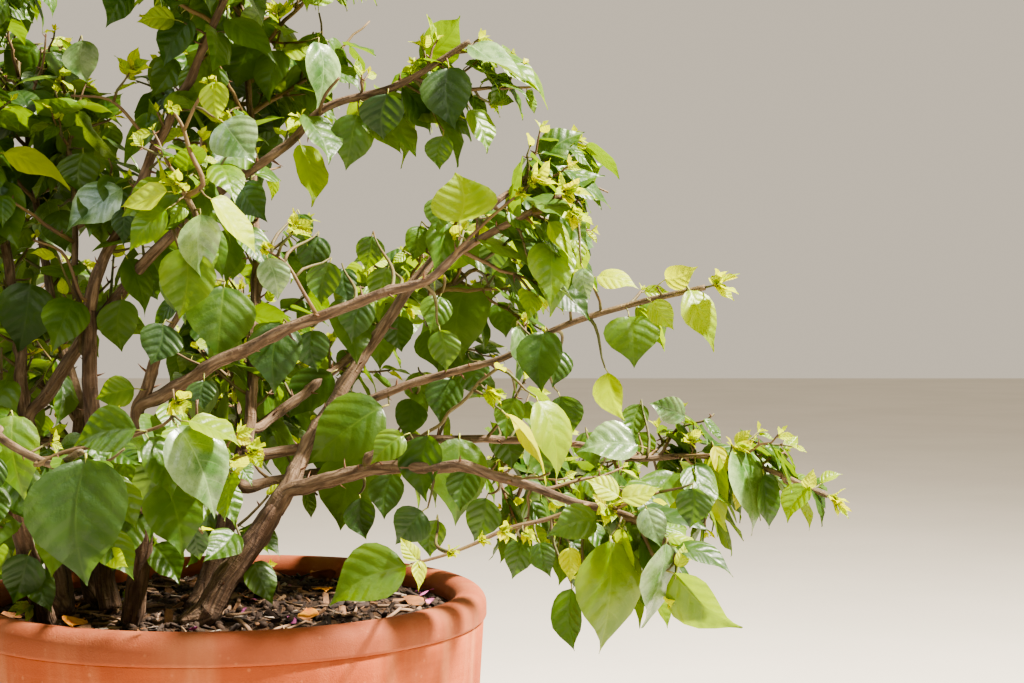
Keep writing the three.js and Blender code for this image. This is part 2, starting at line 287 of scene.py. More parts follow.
class Fibres(Effect):
    """Fibres and cracks that follow a limb, in the coordinates of the limb laid straight."""

    name = "bark fibres"
    takes = {"Fibre Scale": 420.0, "Crack Scale": 130.0}
    gives = ("Fibres", "Cracks", "Rings")

    def draw(self, wiring: Wiring, given: Mapping[str, Socket]) -> dict[str, Socket]:
        """Draws the fibres and cracks along the limb and the rings across it.

        Args:
            wiring: The group's tree.
            given: The coordinates along the limb and the two scales.

        Returns:
            Their three masks.
        """
        long = wiring.stretched(given["Vector"], (1.0, 1.0, 0.14))
        fibres = wiring.noise(long, given["Fibre Scale"], 4, 0.65)
        bend = wiring.noise(long, given["Crack Scale"], 2, 0.5)
        shift = wiring.times(wiring.math("SUBTRACT", bend, 0.5), 0.006)
        moved = wiring.add("ShaderNodeVectorMath", {0: long, 1: shift}, operation="ADD").outputs[0]
        place = {"Vector": moved, "Scale": given["Crack Scale"]}
        cells = wiring.add("ShaderNodeTexVoronoi", place, feature="DISTANCE_TO_EDGE")
        flat = wiring.stretched(given["Vector"], (0.25, 0.25, 1.0))
        rings = wiring.noise(flat, given["Fibre Scale"], 2, 0.5)
        return {
            "Fibres": wiring.span(fibres, 0.32, 0.7),
            "Cracks": wiring.span(cells.outputs["Distance"], 0.0, 0.13, 1, 0),
            "Rings": wiring.span(rings, 0.5, 0.72),
        }


class LeafVeins(Effect):
    """The midrib and the paired side veins of a leaf, in leaf lengths across and along."""

    name = "leaf veins"
    takes = {"Pairs": 7.0}
    gives = ("Veins", "Relief", "Margin")

    def draw(self, wiring: Wiring, given: Mapping[str, Socket]) -> dict[str, Socket]:
        """Draws the veins, the relief between them and the paler margin.

        Args:
            wiring: The group's tree.
            given: The leaf's map and the number of pairs of side veins.

        Returns:
            The mask of the veins, the relief and the share towards the margin.
        """
        parts = wiring.add("ShaderNodeSeparateXYZ", {0: given["Vector"]}).outputs
        across = wiring.math("SUBTRACT", parts["X"], 0.5)
        side = wiring.math("ABSOLUTE", across)
        arch = wiring.times(side, wiring.math("MULTIPLY_ADD", side, 1.1, 0.62))
        start = wiring.math("SUBTRACT", parts["Y"], arch)
        left = wiring.times(wiring.math("LESS_THAN", across, 0.0), 0.45)
        phase = wiring.math("ADD", wiring.times(start, given["Pairs"]), left)
        off = wiring.math("ABSOLUTE", wiring.math("SUBTRACT", wiring.math("FRACT", phase), 0.5))
        fading = wiring.span(side, 0.05, 0.3, 0.7, 0.1)
        laterals = wiring.times(wiring.span(off, 0.0, 0.055, 1, 0), fading)
        return {
            "Veins": wiring.math("MAXIMUM", wiring.span(side, 0.003, 0.011, 1, 0), laterals),
            "Relief": wiring.times(wiring.span(off, 0.0, 0.42), wiring.span(side, 0.0, 0.06)),
            "Margin": wiring.span(side, 0.12, 0.36),
        }


class MaterialWiring(Wiring):
    """The wiring of one new material."""

    def __init__(self, name: str) -> None:
        """Args:
        name: The material's name.
        """
        self.material = bpy.data.materials.new(name)
        self.material.use_nodes = True
        self.material.node_tree.nodes.clear()
        super().__init__(self.material.node_tree)

    def place(self) -> Socket:
        """The Object coordinates."""
        return self.add("ShaderNodeTexCoord").outputs["Object"]

    def mottled(self, vector: Socket, patches: float, grain: float, specks: float) -> Mapping[str, Socket]:
        """The masks of patches, grain and specks at their three scales."""
        scales = {"Patch_Scale": patches, "Grain_Scale": grain, "Speck_Scale": specks}
        return Mottling().use(self, Vector=vector, **scales)

    def principled(self, colour: Socket, rough: Socket, **more: object) -> bpy.types.Node:
        """The Principled shader, with further inputs by name and _ for a space."""
        others = {name.replace("_", " "): value for name, value in more.items()}
        return self.add("ShaderNodeBsdfPrincipled", {"Base Color": colour, "Roughness": rough, **others})

    def finished(self, shader: bpy.types.Node) -> bpy.types.Material:
        """The material with a shader on its surface."""
        self.add("ShaderNodeOutputMaterial", {"Surface": shader.outputs[0]})
        return self.material


@dataclass(frozen=True)
class TerracottaFinish:
    """Fired clay with a pale salt bloom, a dusty lip, sanded grain, specks and a damp foot."""

    clay: Colour = paint(168, 86, 50)
    dark_clay: Colour = paint(142, 68, 38)
    bloom: Colour = paint(198, 136, 98)
    damp: Colour = paint(112, 52, 32)
    lip_dust: Colour = paint(118, 70, 50)
    lip_level: float = 343 * MM
    roughness: float = 0.82

    def material(self) -> bpy.types.Material:
        """Builds the finish on Object coordinates.

        Returns:
            The material.
        """
        wiring = MaterialWiring("terracotta clay")
        place = wiring.place()
        look = wiring.mottled(place, 9.0, 900.0, 210.0)
        bands = wiring.noise(wiring.stretched(place, (1.5, 1.5, 60.0)), 2.0, 3, 0.6)
        streaks = wiring.noise(wiring.stretched(place, (26.0, 26.0, 3.0)), 1.0, 4, 0.6)
        height = wiring.add("ShaderNodeSeparateXYZ", {0: place}).outputs["Z"]
        edge = wiring.math("SUBTRACT", height, wiring.times(look["Patches"], 0.06))
        level = wiring.math("MULTIPLY_ADD", streaks, 3 * MM, height)
        lip = wiring.span(level, self.lip_level, self.lip_level + 4 * MM, 0, 0.5)
        colour = wiring.blend(look["Patches"], self.clay, self.dark_clay)
        colour = wiring.blend(wiring.span(bands, 0.42, 0.66, 0, 0.35), colour, self.dark_clay)
        colour = wiring.blend(wiring.times(wiring.span(streaks, 0.45, 0.72), 0.5), colour, self.bloom)
        colour = wiring.blend(wiring.span(edge, -0.02, 0.06, 0.55, 0), colour, self.damp)
        colour = wiring.blend(wiring.times(look["Specks"], 0.3), colour, self.bloom)
        colour = wiring.blend(lip, colour, self.lip_dust)
        rough = wiring.span(look["Grain"], 0, 1, self.roughness - 0.1, self.roughness)
        relief = wiring.math("ADD", look["Grain"], wiring.times(bands, 1.5))
        normal = wiring.bump(relief, 0.35, 0.6 * MM)
        return wiring.finished(wiring.principled(colour, rough, Normal=normal, Specular_IOR_Level=0.3))


@dataclass(frozen=True)
class SoilFinish:
    """Potting soil, nearly black where it is damp, with paler crumbs on top."""

    damp: Colour = paint(38, 27, 20)
    dry: Colour = paint(84, 62, 45)
    crumb: Colour = paint(128, 100, 74)
    crumbs: float = 0.5

    def material(self) -> bpy.types.Material:
        """Builds the finish on Object coordinates.

        Returns:
            The material.
        """
        wiring = MaterialWiring("potting soil")
        look = wiring.mottled(wiring.place(), 34.0, 420.0, 260.0)
        colour = wiring.blend(look["Patches"], self.damp, self.dry)
        colour = wiring.blend(wiring.times(look["Specks"], self.crumbs), colour, self.crumb)
        rough = wiring.span(look["Patches"], 0, 1, 0.8, 0.97)
        normal = wiring.bump(wiring.math("ADD", look["Grain"], look["Specks"]), 0.8, 1.2 * MM)
        return wiring.finished(wiring.principled(colour, rough, Normal=normal, Specular_IOR_Level=0.25))


@dataclass(frozen=True)
class BarkFinish:
    """Bark whose fibres and cracks run along the limb, greener where the wood is young; its dark cracks are
    partly the bark's own colour and partly painted shade.
    """

    name: str
    ground: Colour
    ridge: Colour
    crack: Colour
    green: Colour
    depth: float = 1.0
    lichen: float = 0.4

    def material(self) -> bpy.types.Material:
        """Builds the finish on the limb's own coordinates laid straight.

        Returns:
            The material.
        """
        wiring = MaterialWiring(self.name)
        straight = wiring.add("ShaderNodeAttribute", attribute_name=Bark.STRAIGHT).outputs["Vector"]
        youth = wiring.add("ShaderNodeAttribute", attribute_name=Bark.YOUTH).outputs["Fac"]
        bark = Fibres().use(wiring, Vector=straight, Fibre_Scale=520.0, Crack_Scale=150.0)
        look = wiring.mottled(straight, 42.0, 900.0, 330.0)
        old = wiring.math("SUBTRACT", 1.0, youth)
        grey = wiring.times(wiring.times(look["Specks"], old), self.lichen)
        # Dark cracks: the bark's own darker fissures with painted shade in them, weaker on young wood.
        real_tone_and_painted_light = wiring.times(bark["Cracks"], wiring.span(youth, 0, 1, 0.5, 0.1))
        colour = wiring.blend(bark["Fibres"], self.ground, self.ridge)
        colour = wiring.blend(wiring.times(look["Patches"], 0.45), colour, self.ground)
        colour = wiring.blend(grey, colour, self.ridge)
        colour = wiring.blend(wiring.times(youth, 0.85), colour, self.green)
        colour = wiring.blend(real_tone_and_painted_light, colour, self.crack)
        proud = wiring.math("SUBTRACT", bark["Fibres"], bark["Cracks"])
        rough = wiring.math("MULTIPLY_ADD", look["Grain"], 0.4, wiring.times(look["Specks"], 0.8))
        relief = wiring.math("ADD", wiring.math("MULTIPLY_ADD", bark["Rings"], 0.5, proud), rough)
        normal = wiring.bump(relief, 0.65, self.depth * MM)
        dull = wiring.span(youth, 0, 1, 0.84, 0.52)
        return wiring.finished(wiring.principled(colour, dull, Normal=normal, Specular_IOR_Level=0.35))


@dataclass(frozen=True)
class ShootFinish:
    """The skin of thin shoots, leaf stalks, thorns and litter, with fine patches and grain."""

    name: str
    skin: Colour
    shade: Colour
    roughness: float = 0.55
    patch_scale: float = 60.0

    def material(self) -> bpy.types.Material:
        """Builds the finish on Object coordinates.

        Returns:
            The material.
        """
        wiring = MaterialWiring(self.name)
        look = wiring.mottled(wiring.place(), self.patch_scale, 1400.0, 500.0)
        colour = wiring.blend(look["Patches"], self.skin, self.shade)
        colour = wiring.blend(wiring.times(look["Grain"], 0.3), colour, self.shade)
        rough = wiring.span(look["Grain"], 0, 1, self.roughness, self.roughness + 0.15)
        normal = wiring.bump(look["Grain"], 0.4, 0.3 * MM)
        return wiring.finished(wiring.principled(colour, rough, Normal=normal))


@dataclass(frozen=True)
class LeafFinish:
    """A leaf blade, veined and half glossy above with pale patches of painted sheen, paler and matt below,
    that light comes through.
    """

    name: str
    upper: Colour
    vein: Colour
    under: Colour
    glow: Colour
    roughness: float = 0.36
    through: float = 0.34
    vein_share: float = 0.55
    # sheen: the share of pale vein colour laid in patches as a painted sheen.
    sheen: float = 0.28
    coat: float = 0.0

    def material(self) -> bpy.types.Material:
        """Builds the finish on the leaf's own map.

        Returns:
            The material.
        """
        wiring = MaterialWiring(self.name)
        blade = wiring.add("ShaderNodeUVMap", uv_map=LeafShape.MAP).outputs["UV"]
        lines = LeafVeins().use(wiring, Vector=blade, Pairs=5.0)
        look = wiring.mottled(wiring.place(), 66.0, 700.0, 300.0)
        back = wiring.add("ShaderNodeNewGeometry").outputs["Backfacing"]
        shown = wiring.times(lines["Veins"], self.vein_share)
        # Painted sheen in pale patches, plus the paler margin that is the leaf's own colour.
        real_tone_and_painted_light = wiring.math("MULTIPLY_ADD", look["Patches"], self.sheen, wiring.times(lines["Margin"], 0.3))
        upper = wiring.blend(shown, wiring.blend(real_tone_and_painted_light, self.upper, self.vein), self.vein)
        colour = wiring.blend(back, upper, wiring.blend(shown, self.under, self.vein))
        relief = wiring.math("MULTIPLY_ADD", look["Patches"], 0.8, lines["Relief"])
        normal = wiring.bump(relief, 0.6, 0.65 * MM)
        gloss = wiring.math("MULTIPLY_ADD", look["Grain"], 0.12, self.roughness)
        rough = wiring.math("MULTIPLY_ADD", back, 0.2, gloss)
        skin = {"Specular_IOR_Level": 0.5, "Coat_Weight": self.coat, "Coat_Roughness": 0.3}
        shader = wiring.principled(colour, rough, Normal=normal, **skin)
        light = wiring.blend(wiring.times(lines["Veins"], 0.35), self.glow, self.upper)
        lit = wiring.add("ShaderNodeBsdfTranslucent", {"Color": light, "Normal": normal})
        both = {0: self.through, 1: shader.outputs[0], 2: lit.outputs[0]}
        return wiring.finished(wiring.add("ShaderNodeMixShader", both))


@dataclass(frozen=True)
class FloorFinish:
    """A plain pale floor with the faintest unevenness."""

    pale: Colour = paint(224, 217, 205)
    shade: Colour = paint(219, 212, 200)

    def material(self) -> bpy.types.Material:
        """Builds the finish on Object coordinates.

        Returns:
            The material.
        """
        wiring = MaterialWiring("pale floor")
        look = wiring.mottled(wiring.place(), 1.6, 160.0, 90.0)
        colour = wiring.blend(look["Patches"], self.pale, self.shade)
        return wiring.finished(wiring.principled(colour, wiring.span(look["Grain"], 0, 1, 0.7, 0.85)))


OLD_BARK = BarkFinish(
    "old bark", paint(78, 57, 42), paint(120, 98, 80), paint(32, 22, 16), paint(116, 104, 62)
)
BOUGH_BARK = BarkFinish(
    "young bark", paint(86, 66, 48), paint(134, 112, 90), paint(42, 30, 22), paint(96, 88, 46), 0.6, 0.5
)
SHOOT_SKINS = {
    "brown_shoots": ShootFinish("brown shoots", paint(88, 64, 42), paint(108, 88, 50)),
    "green_shoots": ShootFinish("green shoots", paint(78, 84, 34), paint(88, 68, 38), 0.55),
    "leaf_stalks": ShootFinish("leaf stalks", paint(154, 166, 72), paint(142, 130, 64), 0.45),
    "thorns": ShootFinish("thorns", paint(114, 80, 54), paint(84, 54, 38), 0.5),
}
# From deep to fresh the greens are partly age and partly painted shade and light: darker inside the crown,
# paler where light falls. Lime and gold are young leaves; the pale sheen finish is a painted sheen.
LEAF_FINISHES = {
    Tint.DEEP: LeafFinish(
        "leaf deep green", paint(28, 57, 18), paint(72, 98, 34), paint(72, 100, 42), paint(92, 126, 8)
    ),
    Tint.MATURE: LeafFinish(
        "leaf green", paint(42, 75, 18), paint(98, 124, 38), paint(90, 116, 44), paint(122, 152, 8)
    ),
    Tint.MIDDLE: LeafFinish(
        "leaf mid green", paint(66, 100, 18), paint(128, 150, 42), paint(114, 138, 46), paint(152, 178, 8)
    ),
    Tint.FRESH: LeafFinish(
        "leaf fresh green", paint(102, 130, 16), paint(160, 174, 46), paint(140, 164, 48),
        paint(184, 206, 12), through=0.4,
    ),
    Tint.LIME: LeafFinish(
        "leaf lime", paint(150, 172, 20), paint(194, 202, 60), paint(172, 186, 50), paint(212, 218, 14),
        roughness=0.46, through=0.42, vein_share=0.4,
    ),
    Tint.PAINTED_SHEEN: LeafFinish(
        "leaf with a pale sheen", paint(54, 90, 36), paint(160, 182, 130), paint(112, 136, 80),
        paint(140, 164, 40), roughness=0.24, through=0.2, vein_share=0.35, sheen=0.42, coat=0.8,
    ),
    Tint.GOLD: LeafFinish(
        "leaf golden tips", paint(166, 170, 20), paint(196, 192, 54), paint(178, 178, 42),
        paint(218, 214, 12), roughness=0.5, through=0.42, vein_share=0.3,
    ),
}


# Small shapes and the meshes that join many of them


@dataclass
class Shape:
    """A small mesh kept as arrays, so that many bent and turned copies can be joined."""

    spots: np.ndarray
    corners: np.ndarray
    sizes: np.ndarray
    flat: np.ndarray

    @classmethod
    def of(cls, bm: bmesh.types.BMesh, map_name: str = "") -> "Shape":
        """Takes the arrays of a bmesh and frees it.

        Args:
            bm: The modelled shape.
            map_name: The name of its UV map, or nothing.

        Returns:
            The shape.
        """
        bm.verts.index_update()
        spots = np.array([vert.co[:] for vert in bm.verts])
        corners = np.array([loop.vert.index for face in bm.faces for loop in face.loops])
        sizes = np.array([len(face.loops) for face in bm.faces])
        flat = np.zeros((len(corners), 2))
        if map_name:
            layer = bm.loops.layers.uv[map_name]
            flat = np.array([loop[layer].uv[:] for face in bm.faces for loop in face.loops])
        bm.free()
        return cls(spots, corners, sizes, flat)


class Heap:
    """Copies of small shapes that become one joined mesh."""

    def __init__(self) -> None:
        """Starts empty."""
        self.spots: list[np.ndarray] = []
        self.corners: list[np.ndarray] = []
        self.sizes: list[np.ndarray] = []
        self.flat: list[np.ndarray] = []
        self.count = 0

    def add(self, shape: Shape, spots: np.ndarray) -> None:
        """Adds one copy.

        Args:
            shape: The shape that is copied.
            spots: Where this copy's vertices are.
        """
        self.spots.append(spots)
        self.corners.append(shape.corners + self.count)
        self.sizes.append(shape.sizes)
        self.flat.append(shape.flat)
        self.count += len(spots)

    def mesh(self, name: str, map_name: str = "") -> bpy.types.Mesh:
        """The joined copies as one smooth mesh.

        Args:
            name: The mesh's name.
            map_name: The name of its UV map, or nothing.

        Returns:
            The mesh.
        """
        spots = np.concatenate(self.spots).astype(np.float32)
        corners = np.concatenate(self.corners).astype(np.int32)
        sizes = np.concatenate(self.sizes).astype(np.int32)
        mesh = bpy.data.meshes.new(name)
        mesh.vertices.add(len(spots))
        mesh.vertices.foreach_set("co", spots.ravel())
        mesh.loops.add(len(corners))
        mesh.loops.foreach_set("vertex_index", corners)
        mesh.polygons.add(len(sizes))
        starts = np.concatenate(([0], np.cumsum(sizes)[:-1])).astype(np.int32)
        mesh.polygons.foreach_set("loop_start", starts)
        if map_name:
            layer = mesh.uv_layers.new(name=map_name)
            layer.data.foreach_set("uv", np.concatenate(self.flat).astype(np.float32).ravel())
        mesh.update(calc_edges=True)
        mesh.shade_smooth()
        return mesh


@dataclass
class Course:
    """A line through space with a thickness, such as a limb's or a shoot's centreline."""

    spots: np.ndarray
    radii: np.ndarray

    @property
    def marks(self) -> np.ndarray:
        """The distance along the line at each of its points."""
        steps = np.linalg.norm(np.diff(self.spots, axis=0), axis=1)
        return np.concatenate(([0.0], np.cumsum(steps)))

    @property
    def length(self) -> float:
        """The line's whole length."""
        return float(self.marks[-1])

    def at(self, distance: np.ndarray | float) -> np.ndarray:
        """The point or points at a distance along the line."""
        marks = self.marks
        return np.stack([np.interp(distance, marks, self.spots[:, k]) for k in range(3)], axis=-1)

    def thickness(self, distance: np.ndarray | float) -> np.ndarray:
        """The radius at a distance along the line."""
        return np.interp(distance, self.marks, self.radii)

    def heading(self, distance: float) -> np.ndarray:
        """Looks along the line.

        Args:
            distance: How far along it.

        Returns:
            The line's direction there.
        """
        step = min(3 * MM, self.length / 3)
        low = max(0.0, distance - step)
        high = min(self.length, distance + step)
        return unit(self.at(high) - self.at(low))

    def nearest(self, spot: np.ndarray) -> tuple[np.ndarray, float]:
        """The line's point nearest to a spot.

        Args:
            spot: Any point.

        Returns:
            The nearest point and its distance along the line.
        """
        along = np.linspace(0.0, self.length, 200)
        points = self.at(along)
        best = int(np.argmin(np.linalg.norm(points - spot, axis=1)))
        return points[best], float(along[best])

    def evened(self, step: float) -> "Course":
        """The same line with evenly spaced points on a smooth curve.

        Args:
            step: About how far apart the points are.

        Returns:
            The new line.
        """
        marks = self.marks
        count = max(3, int(round(self.length / step)) + 1)
        along = np.linspace(0.0, marks[-1], count)
        slopes = np.gradient(self.spots, marks, axis=0)
        place = np.clip(np.searchsorted(marks, along, "right") - 1, 0, len(marks) - 2)
        gap = (marks[place + 1] - marks[place])[:, None]
        share = (along[:, None] - marks[place][:, None]) / gap
        start, end = self.spots[place], self.spots[place + 1]
        rise, fall = slopes[place] * gap, slopes[place + 1] * gap
        square, cube = share**2, share**3
        spots = (
            (2 * cube - 3 * square + 1) * start
            + (cube - 2 * square + share) * rise
            + (3 * square - 2 * cube) * end
            + (cube - square) * fall
        )
        return Course(spots, np.interp(along, marks, self.radii))


def arch(
    start: np.ndarray, heading: np.ndarray, end: np.ndarray, landing: np.ndarray, count: int
) -> np.ndarray:
    """Points on a smooth arch between two places.

    Args:
        start: The first point.
        heading: The direction there.
        end: The last point.
        landing: The direction there.
        count: How many points.

    Returns:
        The points.
    """
    reach = np.linalg.norm(end - start)
    share = np.linspace(0.0, 1.0, count)[:, None]
    first = start + heading * reach * 0.38
    last = end - landing * reach * 0.34
    return (
        (1 - share) ** 3 * start
        + 3 * (1 - share) ** 2 * share * first
        + 3 * (1 - share) * share**2 * last
        + share**3 * end
    )


class Rod:
    """A straight unit rod of rings, from which limbs, shoots, stalks and thorns are bent."""

    made: dict[tuple[int, int], "Rod"] = {}

    def __init__(self, sides: int, rings: int) -> None:
        """Args:
        sides: Faces round the rod.
        rings: Steps along it.
        """
        bm = bmesh.new()
        bmesh.ops.create_circle(bm, segments=sides, radius=1.0)
        edges = bm.edges[:]
        bottom = bm.edges[:]
        for _ring in range(rings):
            grown = bmesh.ops.extrude_edge_only(bm, edges=edges)["geom"]
            edges = [part for part in grown if isinstance(part, bmesh.types.BMEdge)]
            verts = [part for part in grown if isinstance(part, bmesh.types.BMVert)]
            bmesh.ops.translate(bm, verts=verts, vec=(0.0, 0.0, 1.0 / rings))
            edges = [edge for edge in edges if all(vert in verts for vert in edge.verts)]
        bmesh.ops.contextual_create(bm, geom=bottom)
        bmesh.ops.contextual_create(bm, geom=edges)
        bmesh.ops.recalc_face_normals(bm, faces=bm.faces[:])
        self.shape = Shape.of(bm)
        self.rings = rings
        self.along = self.shape.spots[:, 2]
        self.angle = np.arctan2(self.shape.spots[:, 1], self.shape.spots[:, 0])

    @classmethod
    def with_size(cls, sides: int, rings: int) -> "Rod":
        """The rod with these numbers of sides and rings, made once."""
        if (sides, rings) not in cls.made:
            cls.made[(sides, rings)] = cls(sides, rings)
        return cls.made[(sides, rings)]

    def bent(self, course: Course, swelling: np.ndarray | float = 1.0) -> np.ndarray:
        """The rod's vertices, bent along a line.

        Args:
            course: The line, with its thickness.
            swelling: A factor on the thickness for each vertex.

        Returns:
            The places of the vertices.
        """
        marks = np.linspace(0.0, course.length, self.rings + 1)
        centres = course.at(marks)
        ahead = unit(np.gradient(centres, axis=0))
        mean = unit(centres[-1] - centres[0])
        away = np.eye(3)[int(np.argmin(np.abs(mean)))]
        first = unit(np.cross(ahead, away))
        second = np.cross(ahead, first)
        ring = np.rint(self.along * self.rings).astype(int)
        radius = course.thickness(marks)[ring] * swelling
        return (
            centres[ring]
            + first[ring] * (np.cos(self.angle) * radius)[:, None]
            + second[ring] * (np.sin(self.angle) * radius)[:, None]
        )


def mesh_of(bm: bmesh.types.BMesh, name: str) -> bpy.types.Mesh:
    """Turns a bmesh into a mesh and frees it.

    Args:
        bm: The modelled body.
        name: The mesh's name.

    Returns:
        The mesh.
    """
    mesh = bpy.data.meshes.new(name)
    bm.to_mesh(mesh)
    bm.free()
    return mesh


def in_scene(name: str, data: bpy.types.ID) -> bpy.types.Object:
    """Puts an object in the scene.

    Args:
        name: Its name.
        data: Its mesh, light or camera.

    Returns:
        The object.
    """
    made = bpy.data.objects.new(name, data)
    bpy.context.scene.collection.objects.link(made)
    return made


def show(
    name: str, mesh: bpy.types.Mesh, material: bpy.types.Material, nodes: Sequence[str] = ()
) -> None:
    """Puts a finished mesh in the scene as a piece of the plant.

    Args:
        name: The piece's name.
        mesh: Its mesh, in place.
        material: Its finish.
        nodes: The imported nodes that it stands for.
    """
    mesh.materials.append(material)
    piece = in_scene(name, mesh)
    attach(piece, "root")
    if nodes:
        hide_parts(*nodes)
    log.info("%s: %d faces", name, len(mesh.polygons))


def packed_shape(node: str) -> bmesh.types.BMesh:
    """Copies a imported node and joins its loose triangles.

    Args:
        node: The node's name.

    Returns:
        The copy.
    """
    bm = bmesh.new()
    bm.from_mesh(frame["nodes"][node].data)
    bmesh.ops.remove_doubles(bm, verts=bm.verts[:], dist=MERGE_GAP)
    return bm


# Stems and boughs


class Mass:
    """The room that one packed mass of foliage gives to its leaves."""

    LOOK_FROM = 0.6

    def __init__(self, node: str) -> None:
        """Args:
        node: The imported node's name.
        """
        bm = packed_shape(node)
        self.node = node
        self.tree = BVHTree.FromBMesh(bm)
        points = np.array([vert.co[:] for vert in bm.verts])
        self.middle = (points.min(axis=0) + points.max(axis=0)) / 2
        self.size = points.max(axis=0) - points.min(axis=0)
        bm.free()

    def room(self, spot: np.ndarray, heading: np.ndarray) -> float:
        """How far it is to the mass's far skin in a direction, or 0 where the mass isn't there."""
        met = self.tree.ray_cast(Vector(spot + heading * self.LOOK_FROM), Vector(-heading))
        return 0.0 if met[3] is None else max(0.0, self.LOOK_FROM - float(met[3]))


class Limb:
    """One packed stem or bough, read back as a centreline with its thickness."""

    SLICES = 14
    END_SHARE = 0.02
    SLIMMING = 0.86

    def __init__(self, node: str, towards: np.ndarray, parent: "Limb | None") -> None:
        """Args:
        node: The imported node's name.
        towards: A place that its tip is nearer to than its root.
        parent: The limb that it leaves, or nothing for a stem.
        """
        self.node = node
        self.parent = parent
        bm = packed_shape(node)
        points = np.array([vert.co[:] for vert in bm.verts])
        spread = points - points.mean(axis=0)
        main = np.linalg.svd(spread, full_matrices=False)[2][0]
        shares = spread @ main
        ends = [points[np.argsort(shares)[:4]].mean(axis=0), points[np.argsort(shares)[-4:]].mean(axis=0)]
        if np.linalg.norm(ends[0] - towards) < np.linalg.norm(ends[1] - towards):
            ends.reverse()
        self.course = self.sliced(bm, ends[0], ends[1])
        bm.free()

    def sliced(self, bm: bmesh.types.BMesh, root: np.ndarray, tip: np.ndarray) -> Course:
        """Cuts the limb across at even steps.

        Args:
            bm: The limb's mesh.
            root: The middle of its root end.
            tip: The middle of its tip end.

        Returns:
            The centreline through the middles of the cuts.
        """
        axis = tip - root
        spots = []
        radii = []
        for share in np.linspace(self.END_SHARE, 1 - self.END_SHARE, self.SLICES):
            cut = bm.copy()
            parts = bmesh.ops.bisect_plane(
                cut,
                geom=cut.verts[:] + cut.edges[:] + cut.faces[:],
                plane_co=root + axis * share,
                plane_no=unit(axis),
            )["geom_cut"]
            edges = [part for part in parts if isinstance(part, bmesh.types.BMEdge)]
            around = sum(edge.calc_length() for edge in edges)
            if around > MM:
                middle = sum(
                    ((edge.verts[0].co + edge.verts[1].co) / 2 * edge.calc_length() for edge in edges),
                    Vector(),
                )
                spots.append(np.array(middle / around))
                radii.append(around / (2 * math.pi))
            cut.free()
        course = Course(np.array(spots), np.array(radii))
        ahead = unit(np.gradient(course.spots, axis=0))
        slant = np.abs(ahead @ unit(axis))
        course.radii = course.radii * self.SLIMMING * 2 * slant / (1 + slant)
        return course


@dataclass(frozen=True)
class BarkShape:
    """How coarse a limb's relief is."""

    sides: int
    ring_step: float
    ridges: float
    knots: float
    node_gap: float
    wander: float


